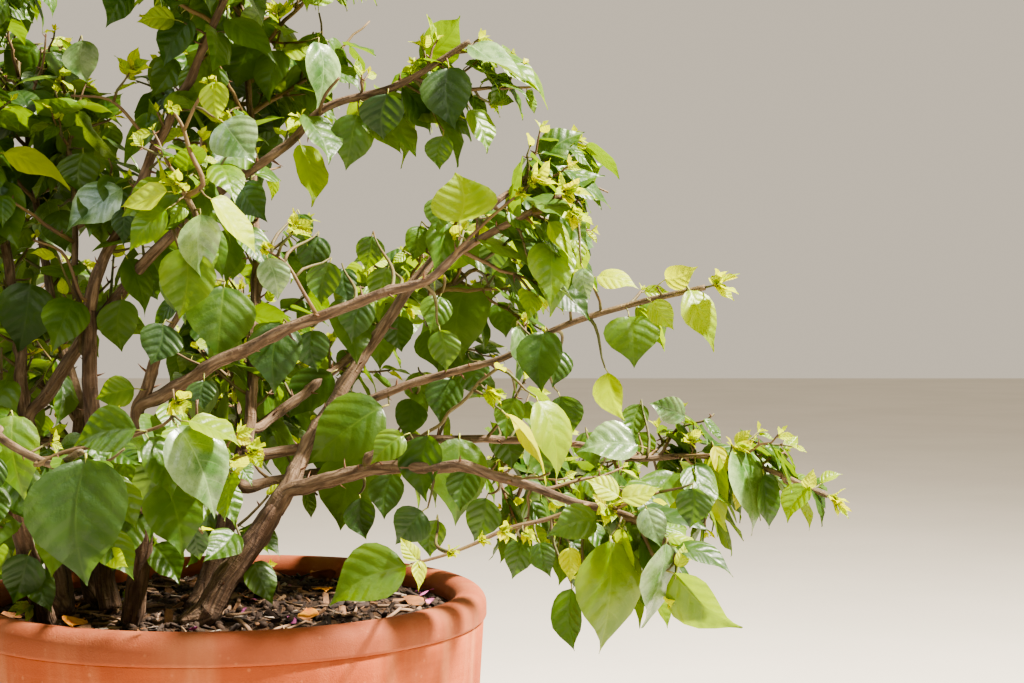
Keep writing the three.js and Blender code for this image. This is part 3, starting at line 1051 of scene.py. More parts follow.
class Bark:
    """The bark of one limb: ridges, swollen nodes, knots and a collar where it leaves its parent."""

    STRAIGHT = "straight"
    YOUTH = "youth"
    COLLAR_SHARE = 0.8
    FORK_REACH = 6 * MM
    FORK_DEPTH = 13 * MM
    FORK_SLIMMING = 0.22

    def __init__(self, limb: Limb, shape: BarkShape, seed: int) -> None:
        """Args:
        limb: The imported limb.
        shape: How coarse its relief is.
        seed: The limb's own seed.
        """
        self.limb = limb
        self.shape = shape
        self.random = np.random.default_rng(seed)
        self.course = self.settled(limb.course)
        self.bare_length = self.course.length

    def settled(self, course: Course) -> Course:
        """The centreline joined to the parent, with the slight bends that wood has at its nodes.

        Args:
            course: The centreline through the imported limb.

        Returns:
            The finished centreline.
        """
        spots, radii = course.spots, course.radii
        if self.limb.parent is not None:
            back = spots[0] - unit(spots[1] - spots[0]) * 2 * MM
            carrier = self.limb.parent.course
            joint = carrier.at(min(carrier.nearest(back)[1], carrier.length - self.FORK_DEPTH))
            spots = np.vstack([joint, spots])
            radii = np.concatenate([[radii[0]], radii])
        even = Course(spots, radii).evened(4 * MM)
        count = max(3, int(even.length / self.shape.node_gap))
        sway = self.random.normal(0.0, self.shape.wander, (count + 1, 3))
        sway[0] = sway[-1] = 0.0
        at = np.linspace(0.0, even.length, count + 1)
        shift = np.stack([np.interp(even.marks, at, sway[:, k]) for k in range(3)], axis=1)
        return Course(even.spots + shift, even.radii)

    def grow_on(self, leader: np.ndarray, tip_radius: float) -> None:
        """Carries the limb on as its leader.

        Args:
            leader: The points after the limb's tip.
            tip_radius: The radius at the leader's end.
        """
        spots = np.vstack([self.course.spots, leader])
        taper = np.linspace(self.course.radii[-1], tip_radius, len(leader) + 1)[1:]
        radii = np.concatenate([self.course.radii, taper])
        self.course = Course(spots, radii).evened(self.shape.ring_step)

    def relief(self, along: np.ndarray, angle: np.ndarray) -> np.ndarray:
        """The factor on the limb's thickness at each vertex.

        Args:
            along: The distance of each vertex from the root.
            angle: The angle of each vertex round the limb.

        Returns:
            The factors.
        """
        factor = np.ones_like(along)
        for lobes, share in ((3, 1.2), (5, 1.0), (8, 0.9), (13, 0.5)):
            start = self.random.uniform(0, 2 * math.pi)
            turn = self.random.uniform(-4.0, 4.0)
            wave = self.random.uniform(40.0, 110.0)
            phase = lobes * angle + start + turn * along + 0.7 * np.sin(wave * along + start)
            factor += self.shape.ridges * share * np.cos(phase)
        gap = self.shape.node_gap
        node = (along % gap) / gap - 0.5
        factor += 0.05 * np.exp(-((node / 0.13) ** 2))
        for _knot in range(int(self.course.length / gap * 1.4)):
            spot = self.random.uniform(0.1, 1.0) * self.bare_length
            side = self.random.uniform(-math.pi, math.pi)
            wide = self.random.uniform(2.2, 4.2) * MM
            tall = self.shape.knots * self.random.uniform(0.5, 1.3)
            around = (np.angle(np.exp(1j * (angle - side)))) * 0.006
            far = np.sqrt((along - spot) ** 2 + around**2) / wide
            factor += tall * np.exp(-(far**2)) - 0.55 * tall * np.exp(-((far * 2.4) ** 2))
        return factor

    def mesh(self) -> bpy.types.Mesh:
        """Bends a rod into the bark and stores its coordinates laid straight and its youth.

        Returns:
            The bark.
        """
        course = self.course
        rings = max(8, int(course.length / self.shape.ring_step))
        rod = Rod(self.shape.sides, rings)
        along = rod.along * course.length
        swelling = self.relief(along, rod.angle)
        if self.limb.parent is not None:
            base = self.limb.parent.course
            wide = float(base.thickness(base.nearest(course.spots[0])[1]))
            proud = max(0.15, self.COLLAR_SHARE * (wide / course.radii[0] - 1))
            swelling = swelling + proud * np.exp(-((along / (2.2 * wide)) ** 2))
        else:
            swelling = swelling * (1 + 0.1 * np.exp(-along / 0.03) * np.cos(5 * rod.angle))
            left = np.clip((course.length - along) / self.FORK_REACH, 0.0, 1.0)
            slimmer = smooth_step(1 - (course.length - along) / (2 * self.FORK_DEPTH))
            swelling = swelling * (1 - self.FORK_SLIMMING * slimmer)
            swelling = swelling * np.sqrt(1 - (1 - left) ** 2 * 0.96)
        heap = Heap()
        heap.add(rod.shape, rod.bent(course, swelling))
        mesh = heap.mesh(self.limb.node + "_bark")
        radius = course.thickness(along)
        offset = self.random.uniform(0.0, 1.0)
        straight = np.stack(
            [np.cos(rod.angle) * radius, np.sin(rod.angle) * radius, along + offset], axis=1
        )
        layer = mesh.attributes.new(self.STRAIGHT, "FLOAT_VECTOR", "POINT")
        layer.data.foreach_set("vector", straight.astype(np.float32).ravel())
        youth = smooth_step((2.6 * MM - radius) / (1.8 * MM))
        layer = mesh.attributes.new(self.YOUTH, "FLOAT", "POINT")
        layer.data.foreach_set("value", youth.astype(np.float32))
        return mesh


# Leaves


class LeafShape:
    """One form of blade, a unit long from its base to its tip, with its upper side up."""

    MAP = "blade"
    COLUMNS = 4
    ROWS = 10
    CROWDING = 0.09
    DRIP = 0.6

    def __init__(self, random: np.random.Generator, young: bool) -> None:
        """Args:
        random: The source of this form's chances.
        young: True for a narrow, folded young leaf.
        """
        self.width = random.uniform(0.25, 0.32) if young else random.uniform(0.31, 0.37)
        self.fold = random.uniform(0.4, 0.9) if young else random.uniform(0.22, 0.75)
        self.curl = random.uniform(-0.1, 0.4) if young else random.uniform(0.06, 0.55)
        self.wave = random.uniform(0.015, 0.045)
        self.twist = random.uniform(-0.5, 0.5)
        self.bend = random.uniform(-0.09, 0.09)
        self.phase = random.uniform(0.0, 2 * math.pi)
        self.waves = random.uniform(1.0, 2.2)

    def half_width(self, along: float) -> float:
        """Draws the blade's margin, broad near the base with a drawn-out tip.

        Args:
            along: From 0 at the base to 1 at the tip.

        Returns:
            Half the blade's width there, in blade lengths.
        """
        body = max(0.0, math.sin(math.pi * along**0.7)) ** 0.88
        drip = 1 - self.DRIP * float(smooth_step(np.array((along - 0.66) / 0.34)))
        return self.width * body * drip

    def place(self, across: float, along: float) -> Vector:
        """The place of a point of the blade.

        Args:
            across: From -1 at the left margin to 1 at the right one.
            along: From 0 at the base to 1 at the tip.

        Returns:
            The place, in blade lengths.
        """
        half = self.half_width(along)
        side = across * half
        ripple = math.sin(self.waves * 2 * math.pi * along + self.phase + 1.3 * across)
        rise = self.fold * abs(side) + self.wave * ripple * across * across
        rise -= 1.4 * side * side
        turn = self.twist * along * along
        droop = self.curl * along * along
        return Vector((
            side * math.cos(turn) + self.bend * math.sin(math.pi * along),
            along - 0.28 * self.curl * droop,
            rise + side * math.sin(turn) - droop,
        ))

    def shape(self) -> Shape:
        """Bends a grid into the blade and gives it its own map.

        Returns:
            The blade.
        """
        bm = bmesh.new()
        bmesh.ops.create_grid(bm, x_segments=self.COLUMNS, y_segments=self.ROWS, size=1.0)
        layer = bm.loops.layers.uv.new(self.MAP)
        spots = {}
        for vert in bm.verts:
            step = (vert.co.y + 1) / 2
            spots[vert] = (vert.co.x, max(0.0, step - self.CROWDING * math.sin(2 * math.pi * step)))
        for face in bm.faces:
            for loop in face.loops:
                across, along = spots[loop.vert]
                loop[layer].uv = (0.5 + across * self.half_width(along), along)
        tip = self.place(0.0, 1.0)
        turn = tip.rotation_difference(Vector((0.0, 1.0, 0.0)))
        for vert, (across, along) in spots.items():
            vert.co = turn @ self.place(across, along) / tip.length
        bmesh.ops.remove_doubles(bm, verts=bm.verts[:], dist=1e-4)
        return Shape.of(bm, self.MAP)


def tuft_shape(random: np.random.Generator) -> Shape:
    """A tuft of tiny unfolding leaves round a bud, a unit long, for the tips of shoots.

    Args:
        random: The source of this form's chances.

    Returns:
        The tuft as a small mesh.
    """
    bm = bmesh.new()
    layer = bm.loops.layers.uv.new(LeafShape.MAP)
    count = int(random.integers(5, 8))
    for number in range(count):
        made = bmesh.ops.create_grid(bm, x_segments=2, y_segments=2, size=1.0)["verts"]
        length = 0.4 + 0.6 * random.uniform() ** 1.6
        broad = random.uniform(0.2, 0.32)
        lean = random.uniform(0.12, 0.8)
        turn = Matrix.Rotation(number * GOLDEN_ANGLE + random.uniform(-0.3, 0.3), 4, "Z")
        for vert in made:
            along = (vert.co.y + 1) / 2
            half = broad * length * max(0.0, math.sin(math.pi * along**0.8))
            side = vert.co.x * half
            height = length * along * math.cos(lean * (0.5 + 0.6 * along)) + 0.5 * abs(side)
            vert.co = turn @ Vector((side, length * along * math.sin(lean), height))
        for face in {face for vert in made for face in vert.link_faces}:
            for loop in face.loops:
                loop[layer].uv = (0.5, 0.5)
    bmesh.ops.remove_doubles(bm, verts=bm.verts[:], dist=1e-5)
    return Shape.of(bm, LeafShape.MAP)


@dataclass
class Leaf:
    """One leaf's place on its shoot."""

    base: np.ndarray
    ahead: np.ndarray
    facing: np.ndarray
    length: float
    tint: Tint
    young: bool
    root: np.ndarray | None = None
    broad: float = 1.0
    spray: int = 0

    def placed(self, shape: Shape) -> np.ndarray:
        """Puts a blade in this leaf's place.

        Args:
            shape: The blade, a unit long.

        Returns:
            The places of its vertices.
        """
        ahead = unit(self.ahead)
        facing = unit(self.facing - ahead * (self.facing @ ahead))
        side = np.cross(ahead, facing)
        turn = np.stack([side, ahead, facing])
        return self.base + shape.spots * self.length * (self.broad, 1.0, 1.0) @ turn


class Picture:
    """The photograph's view of the bush: where it shows leaves, buds, wood and sky, in pixels."""

    EYE = np.array((0.2, -1.295, 0.565))
    CENTRE = np.array((512.0, 299.0))
    FOCAL = 1860.0
    NATURAL_WIDTH = 0.68
    ANY_DEPTH = 9.0
    # The tints here are age and painted light together: the deep greens are painted shade, the fresher
    # greens painted light, the pale sheen leaves a painted sheen.
    LEAVES = {
        Tint.DEEP: (
            (85, 458, 86, 587, 96), (27, 555, 11, 605, 42), (5, 585, -8, 628, 44),
            (572, 589, 575, 652, -32), (540, 543, 551, 578, 28), (693, 488, 690, 529, 38),
            (25, 163, 23, 212, 40), (242, 184, 268, 222, 36), (388, 94, 384, 141, 42),
            (545, 331, 542, 393, 43), (283, 324, 275, 396, -61, 34), (163, 324, 150, 365, 43),
            (428, 435, 426, 502, -40), (422, 511, 395, 545, 40), (331, 372, 288, 419, 44),
            (449, 68, 455, 131, 48), (764, 474, 770, 529, 24), (82, 561, 96, 618, 58),
            (30, 283, 18, 355, 59), (204, 380, 204, 410, 28), (125, 210, 124, 246, 24),
            (318, 236, 312, 282, 34, 40), (344, 268, 352, 306, 30, 50), (312, 330, 318, 372, 36, 60),
            (362, 300, 352, 344, 38, 60), (400, 316, 402, 352, 30, 70), (452, 378, 440, 424, 36, 60),
            (500, 426, 512, 470, 36, 50), (352, 392, 362, 440, 40, 70), (392, 474, 384, 520, 38, 60),
            (486, 498, 474, 542, 36, 60), (522, 540, 512, 580, 30, 60), (560, 396, 570, 438, 34, 60),
            (148, 262, 158, 300, 34, 50), (60, 210, 66, 252, 36, 50), (430, 330, 438, 370, 34, 90),
            (470, 358, 480, 398, 34, 90), (498, 302, 506, 338, 30, 80), (470, 468, 460, 512, 36, 80),
            (360, 498, 366, 540, 34, 80), (330, 440, 322, 482, 36, 70), (560, 350, 552, 388, 32, 60),
            (412, 398, 404, 440, 34, 80), (500, 240, 492, 276, 30, 60),
        ),
        Tint.MATURE: (
            (356, 453, 340, 531, -59), (164, 481, 181, 558, 66), (224, 286, 217, 362, 69, 26),
            (122, 299, 122, 352, 43), (459, 438, 455, 527, 60), (466, 285, 463, 362, 69),
            (629, 316, 634, 368, 56), (84, 153, 84, 196, 45), (38, 46, 3, 76, 40), (252, 43, 238, 88, 50),
            (283, 51, 270, 104, 30), (136, 429, 73, 446, 41), (148, 438, 171, 502, 41),
            (597, 520, 545, 537, 40), (357, 115, 346, 171, 43), (406, 566, 329, 606, 52),
            (382, 406, 306, 465, 63), (443, 136, 440, 170, 30), (330, 262, 322, 306, 36, 30),
            (388, 268, 380, 306, 32, 60), (420, 226, 412, 262, 28, 50), (372, 236, 366, 272, 28, 60),
            (440, 330, 446, 372, 34, 70), (300, 214, 308, 246, 26, 40), (420, 372, 428, 412, 34, 60),
            (588, 432, 598, 470, 32, 40), (640, 404, 634, 440, 28, 30), (540, 440, 548, 482, 34, 80),
            (516, 398, 506, 440, 32, 70), (446, 198, 438, 234, 30, 70), (436, 520, 430, 558, 32, 90),
            (640, 432, 648, 468, 32, 60), (440, 296, 430, 334, 32, 80), (602, 470, 608, 508, 30, 50),
            (386, 330, 380, 370, 32, 80),
        ),
        Tint.MIDDLE: (
            (134, 388, 95, 399, 30), (186, 248, 179, 319, 56), (403, 435, 370, 465, 32),
            (12, 415, 25, 503, 60), (471, 110, 487, 154, 24), (808, 485, 788, 523, 24),
            (166, 209, 130, 251, 30), (610, 541, 599, 655, 67), (674, 573, 743, 629, -40),
        ),
        Tint.FRESH: (
            (718, 452, 727, 532, -22), (217, 82, 219, 121, 28), (301, 145, 312, 207, 30),
            (176, 20, 138, 23, 26), (283, 48, 332, 64, 20), (549, 222, 574, 266, 20),
            (652, 301, 674, 330, 26), (690, 290, 714, 352, 36), (459, 222, 455, 172, 62),
            (622, 529, 640, 575, -18), (538, 401, 556, 482, 40), (189, 421, 240, 447, 22),
            (608, 372, 625, 421, -26),
        ),
        Tint.LIME: (
            (212, 199, 257, 255, 25), (5, 153, 71, 190, 25), (168, 191, 122, 207, 24),
            (622, 499, 663, 488, 24), (619, 496, 585, 480, 22), (570, 548, 571, 582, 22),
            (665, 279, 698, 266, 28), (598, 276, 639, 289, 22), (552, 284, 507, 286, 18),
            (419, 561, 418, 592, 16), (417, 561, 400, 538, 18), (678, 567, 684, 543, 16),
            (808, 489, 814, 468, 14),
        ),
        Tint.GOLD: ((506, 414, 546, 486, 14), (742, 474, 736, 512, 16), (714, 446, 722, 482, 18)),
        Tint.PAINTED_SHEEN: (
            (319, 43, 316, 112, 36), (224, 122, 255, 163, 50), (74, 112, 121, 161, -22),
            (48, 201, 74, 255, 42), (201, 214, 204, 282, 44), (268, 258, 278, 300, 34),
            (84, 41, 89, 84, 38), (647, 508, 662, 549, 30), (666, 543, 642, 629, 36),
            (537, 266, 575, 304, 15), (517, 326, 517, 373, 22), (638, 445, 577, 452, 36),
            (734, 449, 752, 536, 38), (178, 427, 214, 520, 63), (583, 268, 590, 300, 24),
            (685, 416, 649, 403, 26), (262, 12, 238, 26, 24),
        ),
    }
    BUDS = (
        (280, 13, 1.0), (178, 184, 1.0), (296, 227, 1.0), (252, 451, 0.8), (533, 180, 1.2),
        (564, 192, 1.0), (573, 214, 0.9), (488, 392, 1.1), (608, 507, 0.9), (715, 284, 1.0),
        (834, 500, 1.0), (735, 448, 1.0), (525, 534, 0.7), (133, 70, 1.0), (690, 440, 0.9),
        (178, 402, 1.0), (480, 540, 0.5), (504, 531, 0.6), (450, 552, 0.5), (264, 248, 0.6),
        (519, 192, 0.5), (172, 108, 0.5), (211, 82, 0.5), (27, 606, 0.8), (90, 612, 0.7),
    )
    GAPS = (
        (78, 372, 78, 418, 15), (120, 350, 125, 380, 16), (108, 262, 110, 276, 10),
        (158, 370, 157, 385, 8), (245, 500, 268, 520, 20), (265, 430, 268, 455, 9),
        (280, 530, 340, 535, 13), (160, 36, 172, 38, 10), (252, 95, 254, 112, 10),
        (275, 160, 325, 168, 12), (285, 188, 288, 206, 8), (332, 215, 338, 235, 8),
        (466, 264, 490, 252, 13), (505, 130, 490, 190, 16), (425, 140, 428, 185, 14),
        (300, 20, 400, 25, 18), (95, 5, 140, 8, 9), (640, 200, 780, 230, 40), (560, 60, 620, 120, 30),
        (340, 90, 350, 100, 10), (605, 330, 600, 400, 10), (690, 380, 740, 400, 22),
    )
    WAYS = {
        "long": (-150, (462, 250), (515, 220), (562, 196)),
        "crossing": (-50, (320, 112), (400, 85), (470, 42)),
        "right": (-92, (560, 327), (640, 302), (705, 287)),
        "low_right": (-205, (534, 487), (573, 502), (612, 511), (655, 530), (676, 560)),
        "far_right": (80, (622, 457), (704, 456), (760, 467), (828, 496)),
        "front_left": (-322, (50, 464), (80, 452)),
        "front_upright": (-143, (190, 290), (199, 252), (196, 215), (182, 189)),
    }
    TWIGS = (
        (1.9, (588, 505), (545, 520), (507, 529), (477, 543), (449, 554), (410, 565)),
        (1.7, (34, 466), (58, 454), (110, 443), (143, 432), (168, 421), (178, 404)),
        (1.6, (314, 310), (303, 291), (284, 261), (264, 248)),
        (2.0, (203, 186), (190, 150), (183, 126), (172, 108)),
        (1.4, (185, 130), (197, 104), (211, 83)),
        (1.4, (282, 482), (262, 474), (251, 460)),
        (1.5, (455, 254), (490, 218), (520, 193)),
        (1.5, (535, 213), (556, 208), (574, 212)),
        (1.5, (320, 112), (326, 95), (340, 78)),
        (1.5, (612, 511), (636, 500), (660, 492)),
        (1.6, (85, 300), (60, 250), (34, 240)),
        (1.6, (145, 135), (110, 100), (72, 96)),
        (1.6, (240, 0), (262, 40), (285, 44)),
    )
    CLEAR_WOOD = {
        "long_bough": 11.0,
        "crossing_bough": 9.0,
        "right_stem": 13.0,
        "right_bough": 6.0,
        "tall_bough": 7.0,
        "front_stem": 5.0,
    }

    def __init__(self) -> None:
        """Starts with the open sky kept clear."""
        self.clear = [(*gap, self.ANY_DEPTH) for gap in self.GAPS]

    @classmethod
    def seen(cls, spots: np.ndarray) -> np.ndarray:
        """The pixels at which places are seen."""
        away = spots - cls.EYE
        return cls.CENTRE + cls.FOCAL * away[..., (0, 2)] / away[..., 1:2] * (1, -1)

    @classmethod
    def place(cls, pixel: Sequence[float], depth: float) -> np.ndarray:
        """The place that a pixel shows at a depth, which is a y coordinate."""
        aside, above = (np.array(pixel) - cls.CENTRE) * (1, -1) / cls.FOCAL * (depth - cls.EYE[1])
        return np.array((cls.EYE[0] + aside, depth, cls.EYE[2] + above))

    def keep_clear(self, first: Sequence[float], last: Sequence[float], half: float, depth: float) -> None:
        """Keeps leaves out of the space up to a depth in front of a strip, given half its width."""
        self.clear.append((*first, *last, half, depth))

    def keep_wood_clear(self, node: str, course: Course) -> None:
        """Keeps the space in front of a limb free if the photograph shows its wood."""
        if node in self.CLEAR_WOOD:
            spots = course.at(np.linspace(0.0, course.length, 10))
            for first, last in zip(spots[:-1], spots[1:]):
                depth = max(first[1], last[1])
                self.keep_clear(self.seen(first), self.seen(last), self.CLEAR_WOOD[node], depth)

    def covered(self, spots: np.ndarray, most: float) -> bool:
        """Tells whether a leaf hides something that the photograph shows.

        Args:
            spots: The leaf's vertices.
            most: The share of them that may hide it.

        Returns:
            True if more of them do.
        """
        strips = np.array(self.clear)
        points = spots[::4]
        first, line = strips[:, :2], strips[:, 2:4] - strips[:, :2]
        away = self.seen(points)[:, None, :] - first
        share = np.clip((away * line).sum(axis=-1) / np.maximum((line**2).sum(axis=-1), 1e-6), 0.0, 1.0)
        far = np.linalg.norm(away - share[..., None] * line, axis=-1)
        inside = (far < strips[:, 4]) & (points[:, 1:2] < strips[:, 5])
        return bool((inside.mean(axis=0) > most).any())


@dataclass
class Shoot:
    """One side shoot with its order of branching."""

    course: Course
    order: int
    tint: Tint
    carrier: int = 0

    def rod(self) -> Rod:
        """The rod that is bent into this shoot."""
        sides = (6, 5, 4)[self.order - 1]
        return Rod.with_size(sides, max(3, len(self.course.spots) - 1))


@dataclass(frozen=True)
class Habit:
    """The numbers of the branching rule."""

    first_node: float = 8 * MM
    shoot_gap: float = 9.5 * MM
    shoot_share: float = 0.92
    longest_shoot: float = 118 * MM
    shortest_shoot: float = 16 * MM
    second_gap: float = 21 * MM
    second_longest: float = 44 * MM
    leaf_gap: float = 6.4 * MM
    largest_leaf: float = 50 * MM
    smallest_leaf: float = 10 * MM
    tip_nodes: float = 3.0
    stalk_share: float = 0.17
    thorn_share: float = 0.3
    runaway_share: float = 0.26
    leafy_share: float = 0.4
    skin_gap: float = 0.012
    shoot_bare: float = 0.12
    first_second: float = 0.24
    second_share: float = 0.8
    second_skin_gap: float = 0.01
    second_shortest: float = 0.014
    second_bare: float = 0.1


class Growth:
    """Grows the crown: leaders, side shoots, leaves, stalks, thorns and tufts."""

    LIGHT = unit(np.array((0.25, -0.45, 0.86)))
    CROWN_MIDDLE = np.array((-0.06, -0.01, 0.52))
    NEARNESS = 60.0
    STALK_PIXELS = 9.0
    BUD_PIXELS = 17.0
    BEHIND = -10 * MM
    SPREAD = (48, 74)
    YOUNG_SPREAD = (32, 52)
    DROOP = (0.45, 1.5)
    YOUNG_DROOP = (0.0, 0.45)
    THORN_SPREAD = (58, 84)
    SPUR_SPREAD = (45, 75)
    SPUR_LENGTH = (9, 22)
    SPUR_LENGTH_BEHIND = (18, 58)
    SPUR_LEAF = (16, 50)
    SPUR_CHANCE = 0.75
    NO_THORN_CHANCE = 0.35
    LONG_THORN = 9 * MM
    SHORT_THORN = 5.5 * MM
    BUDDING = 0.16
    UNFOLDING = 0.42
    GROWING = 0.66
    AIRY = {"long": 0.5, "rising": 0.35, "crossing": 0.2, "far_right": 0.1, "right": 0.2}

    def __init__(self, habit: Habit, limits: tuple[np.ndarray, np.ndarray]) -> None:
        """Args:
        habit: The numbers of the branching rule.
        limits: The lowest and highest corner that a leaf may reach.
        """
        self.habit = habit
        self.limits = limits
        self.leaves: list[Leaf] = []
        self.shoots: list[Shoot] = []
        self.thorns: list[Shoot] = []
        self.tufts: list[Leaf] = []
        self.random = np.random.default_rng(SEED)
        self.picture = Picture()
        self.sighted: list[Leaf] = []
        self.twigs: list[Shoot] = []
        self.spray = 0

    def sprout(self, shoot: Shoot, carrier: int = 0) -> int:
        """Adds a shoot, to which the leaves and thorns that follow belong.

        Args:
            shoot: The shoot.
            carrier: The number of the shoot that it grows on, or 0 for a limb.

        Returns:
            The shoot's number.
        """
        shoot.carrier = carrier
        self.shoots.append(shoot)
        self.spray = len(self.shoots)
        return self.spray

    def leader(self, course: Course, mass: Mass) -> np.ndarray:
        """The way of a bough's leader through its mass.

        Args:
            course: The bough.
            mass: The mass round its end.

        Returns:
            The leader's points after the bough's tip.
        """
        tip = course.spots[-1]
        way = Picture.WAYS.get(mass.node.removesuffix("_foliage"))
        if way:
            depths = np.linspace(tip[1], way[0] * MM, len(way))[1:]
            turns = [Picture.place(pixel, depth) for pixel, depth in zip(way[1:], depths)]
            line = np.vstack([course.spots[-3:], turns])
            smooth = Course(line, np.ones(len(line))).evened(9 * MM)
            return smooth.spots[smooth.marks > smooth.nearest(tip)[1] + 3 * MM]
        ahead = course.heading(course.length)
        aim = unit(unit(mass.middle - tip) * 0.75 + ahead * 0.35)
        reach = mass.room(tip, aim)
        end = tip + aim * max(reach * 0.9, 0.04)
        landing = unit(aim + UP * self.random.uniform(-0.15, 0.25))
        count = max(4, int(reach / (9 * MM)))
        points = arch(tip, ahead, end, landing, count)[1:]
        sway = self.random.normal(0.0, 1.3 * MM, points.shape)
        return points + sway * np.linspace(0.0, 1.0, len(points))[:, None]

    def fill(self, course: Course, start: float, mass: Mass) -> None:
        """Grows the shoots and leaves of one mass along a limb's leader.

        Args:
            course: The limb with its leader.
            start: Where the leader begins, as a distance along it.
            mass: The mass that is filled.
        """
        habit, random = self.habit, self.random
        turn = random.uniform(0, 2 * math.pi)
        along = start + habit.first_node * 0.4
        airy = self.AIRY.get(mass.node.removesuffix("_foliage"), 0.0)
        while along < course.length - 6 * MM:
            share = (along - start) / max(course.length - start, 1e-6)
            if random.uniform() >= airy:
                self.side_shoot(course, along, turn, share, mass)
            turn += GOLDEN_ANGLE + random.uniform(-0.3, 0.3)
            along += habit.shoot_gap * random.uniform(0.75, 1.25)
        last = np.linspace(max(start, course.length - 0.05), course.length, 8)
        tip = Course(course.at(last), np.linspace(1.6 * MM, 1.1 * MM, 8))
        self.dress(tip, self.spray_tint(tip.spots[-1], mass), 0.0)

    def side_heading(self, course: Course, along: float, turn: float, spread: float) -> np.ndarray:
        """The direction in which a shoot leaves its carrier.

        Args:
            course: The carrier.
            along: The distance of the node along it.
            turn: The angle round it.
            spread: The angle away from it.

        Returns:
            The direction.
        """
        ahead = course.heading(along)
        first = unit(np.cross(ahead, np.eye(3)[int(np.argmin(np.abs(ahead)))]))
        second = np.cross(ahead, first)
        side = first * math.cos(turn) + second * math.sin(turn)
        return unit(ahead * math.cos(spread) + side * math.sin(spread))

    def side_shoot(self, course: Course, along: float, turn: float, share: float, mass: Mass) -> None:
        """Grows one side shoot from a leader, with its own second shoots.

        Args:
            course: The leader.
            along: The distance of the node along it.
            turn: The angle round it.
            share: How far along the leader the node is, from 0 to 1.
            mass: The mass that it grows in.
        """
        habit, random = self.habit, self.random
        spread = math.radians(74 - 34 * share + random.uniform(-9, 9))
        root = course.at(along)
        heading = self.side_heading(course, along, turn, spread)
        room = mass.room(root, heading) * habit.shoot_share - habit.skin_gap
        length = min(room * random.uniform(0.78, 1.0), habit.longest_shoot)
        if length < habit.shortest_shoot:
            self.spur(root, heading, mass)
            return
        traced = mass.node.removesuffix("_foliage") in Picture.WAYS
        if random.uniform() < habit.runaway_share and not traced:
            length = max(length * random.uniform(1.2, 1.6), random.uniform(40, 75) * MM)
        shoot = self.shoot(root, heading, length, 1, mass)
        number = self.sprout(shoot)
        self.dress(shoot.course, shoot.tint, habit.shoot_bare)
        second_turn = random.uniform(0, 2 * math.pi)
        place = habit.first_second * length
        while place < length - habit.skin_gap:
            spread = math.radians(random.uniform(42, 62))
            aim = self.side_heading(shoot.course, place, second_turn, spread)
            base = shoot.course.at(place)
            room = mass.room(base, aim) * habit.second_share - habit.second_skin_gap
            reach = min(room, habit.second_longest)
            if reach > habit.second_shortest:
                second = self.shoot(base, aim, reach * random.uniform(0.7, 1.0), 2, mass)
                second.tint = shoot.tint
                self.sprout(second, number)
                self.dress(second.course, second.tint, habit.second_bare)
            second_turn += GOLDEN_ANGLE
            place += habit.second_gap * random.uniform(0.8, 1.3)
        self.spray = 0

    def shoot(
        self, root: np.ndarray, heading: np.ndarray, length: float, order: int, mass: Mass
    ) -> Shoot:
        """One gently arching shoot.

        Args:
            root: Where it starts.
            heading: The direction in which it starts.
            length: How long it is.
            order: 1 for a side shoot, 2 for one on a side shoot.
            mass: The mass that it grows in.

        Returns:
            The shoot.
        """
        random = self.random
        lift = random.uniform(-0.16, 0.34)
        landing = unit(heading + UP * lift + random.normal(0.0, 0.12, 3))
        end = root + unit(heading + landing) * length
        count = max(4, int(length / (9 * MM)) + 2)
        points = arch(root, heading, end, landing, count)
        sway = random.normal(0.0, 0.9 * MM, points.shape)
        sway[0] = 0.0
        base = min(2.1 * MM, (0.95 + length / 0.09) * MM * (0.85 if order > 1 else 1.0))
        radii = np.linspace(base, 0.7 * MM, count)
        return Shoot(Course(points + sway, radii), order, self.spray_tint(end, mass))

    def spray_tint(self, end: np.ndarray, mass: Mass) -> Tint:
        """The tint of a spray's full-grown leaves, paler where it stands in the light.

        Args:
            end: The tip of the spray.
            mass: The mass that it grows in.

        Returns:
            The tint.
        """
        out = (end - mass.middle) / np.maximum(mass.size / 2, 1e-6)
        crown = unit(end - self.CROWN_MIDDLE)
        light = float(out @ self.LIGHT) * 0.55 + float(crown @ self.LIGHT) * 0.35
        light += self.random.normal(0.0, 0.34)
        tints = (Tint.DEEP, Tint.MATURE, Tint.MIDDLE, Tint.FRESH)
        levels = (-0.1, 0.62, 1.14)
        return tints[int(np.searchsorted(levels, light))]

    def dress(self, course: Course, tint: Tint, bare: float) -> None:
        """Puts leaves at the nodes of a shoot, younger and smaller towards its tip.

        Args:
            course: The shoot.
            tint: The tint of its full-grown leaves.
            bare: The share of its length at its root that has no leaves.
        """
        habit, random = self.habit, self.random
        gap = habit.leaf_gap * random.uniform(0.9, 1.2)
        count = max(2, int(course.length * (1 - bare) / gap))
        full = habit.largest_leaf * random.uniform(0.5, 0.98) * min(1.0, 0.7 + course.length / 0.12)
        turn = random.uniform(0, 2 * math.pi)
        for node in range(count):
            along = course.length * (bare + (1 - bare) * (node + 0.6) / count)
            from_tip = count - node - random.uniform(0.0, 0.7)
            grown = float(smooth_step(np.array(from_tip / habit.tip_nodes)))
            length = habit.smallest_leaf + (full - habit.smallest_leaf) * grown
            length *= random.uniform(0.82, 1.1)
            self.leaf(course, along, turn, length, self.aged(tint, grown), grown < self.UNFOLDING)
            turn += math.pi + random.uniform(-0.7, 0.7)
            if random.uniform() < habit.thorn_share:
                self.thorn(course, along, turn, self.SHORT_THORN)
        self.tuft(course)

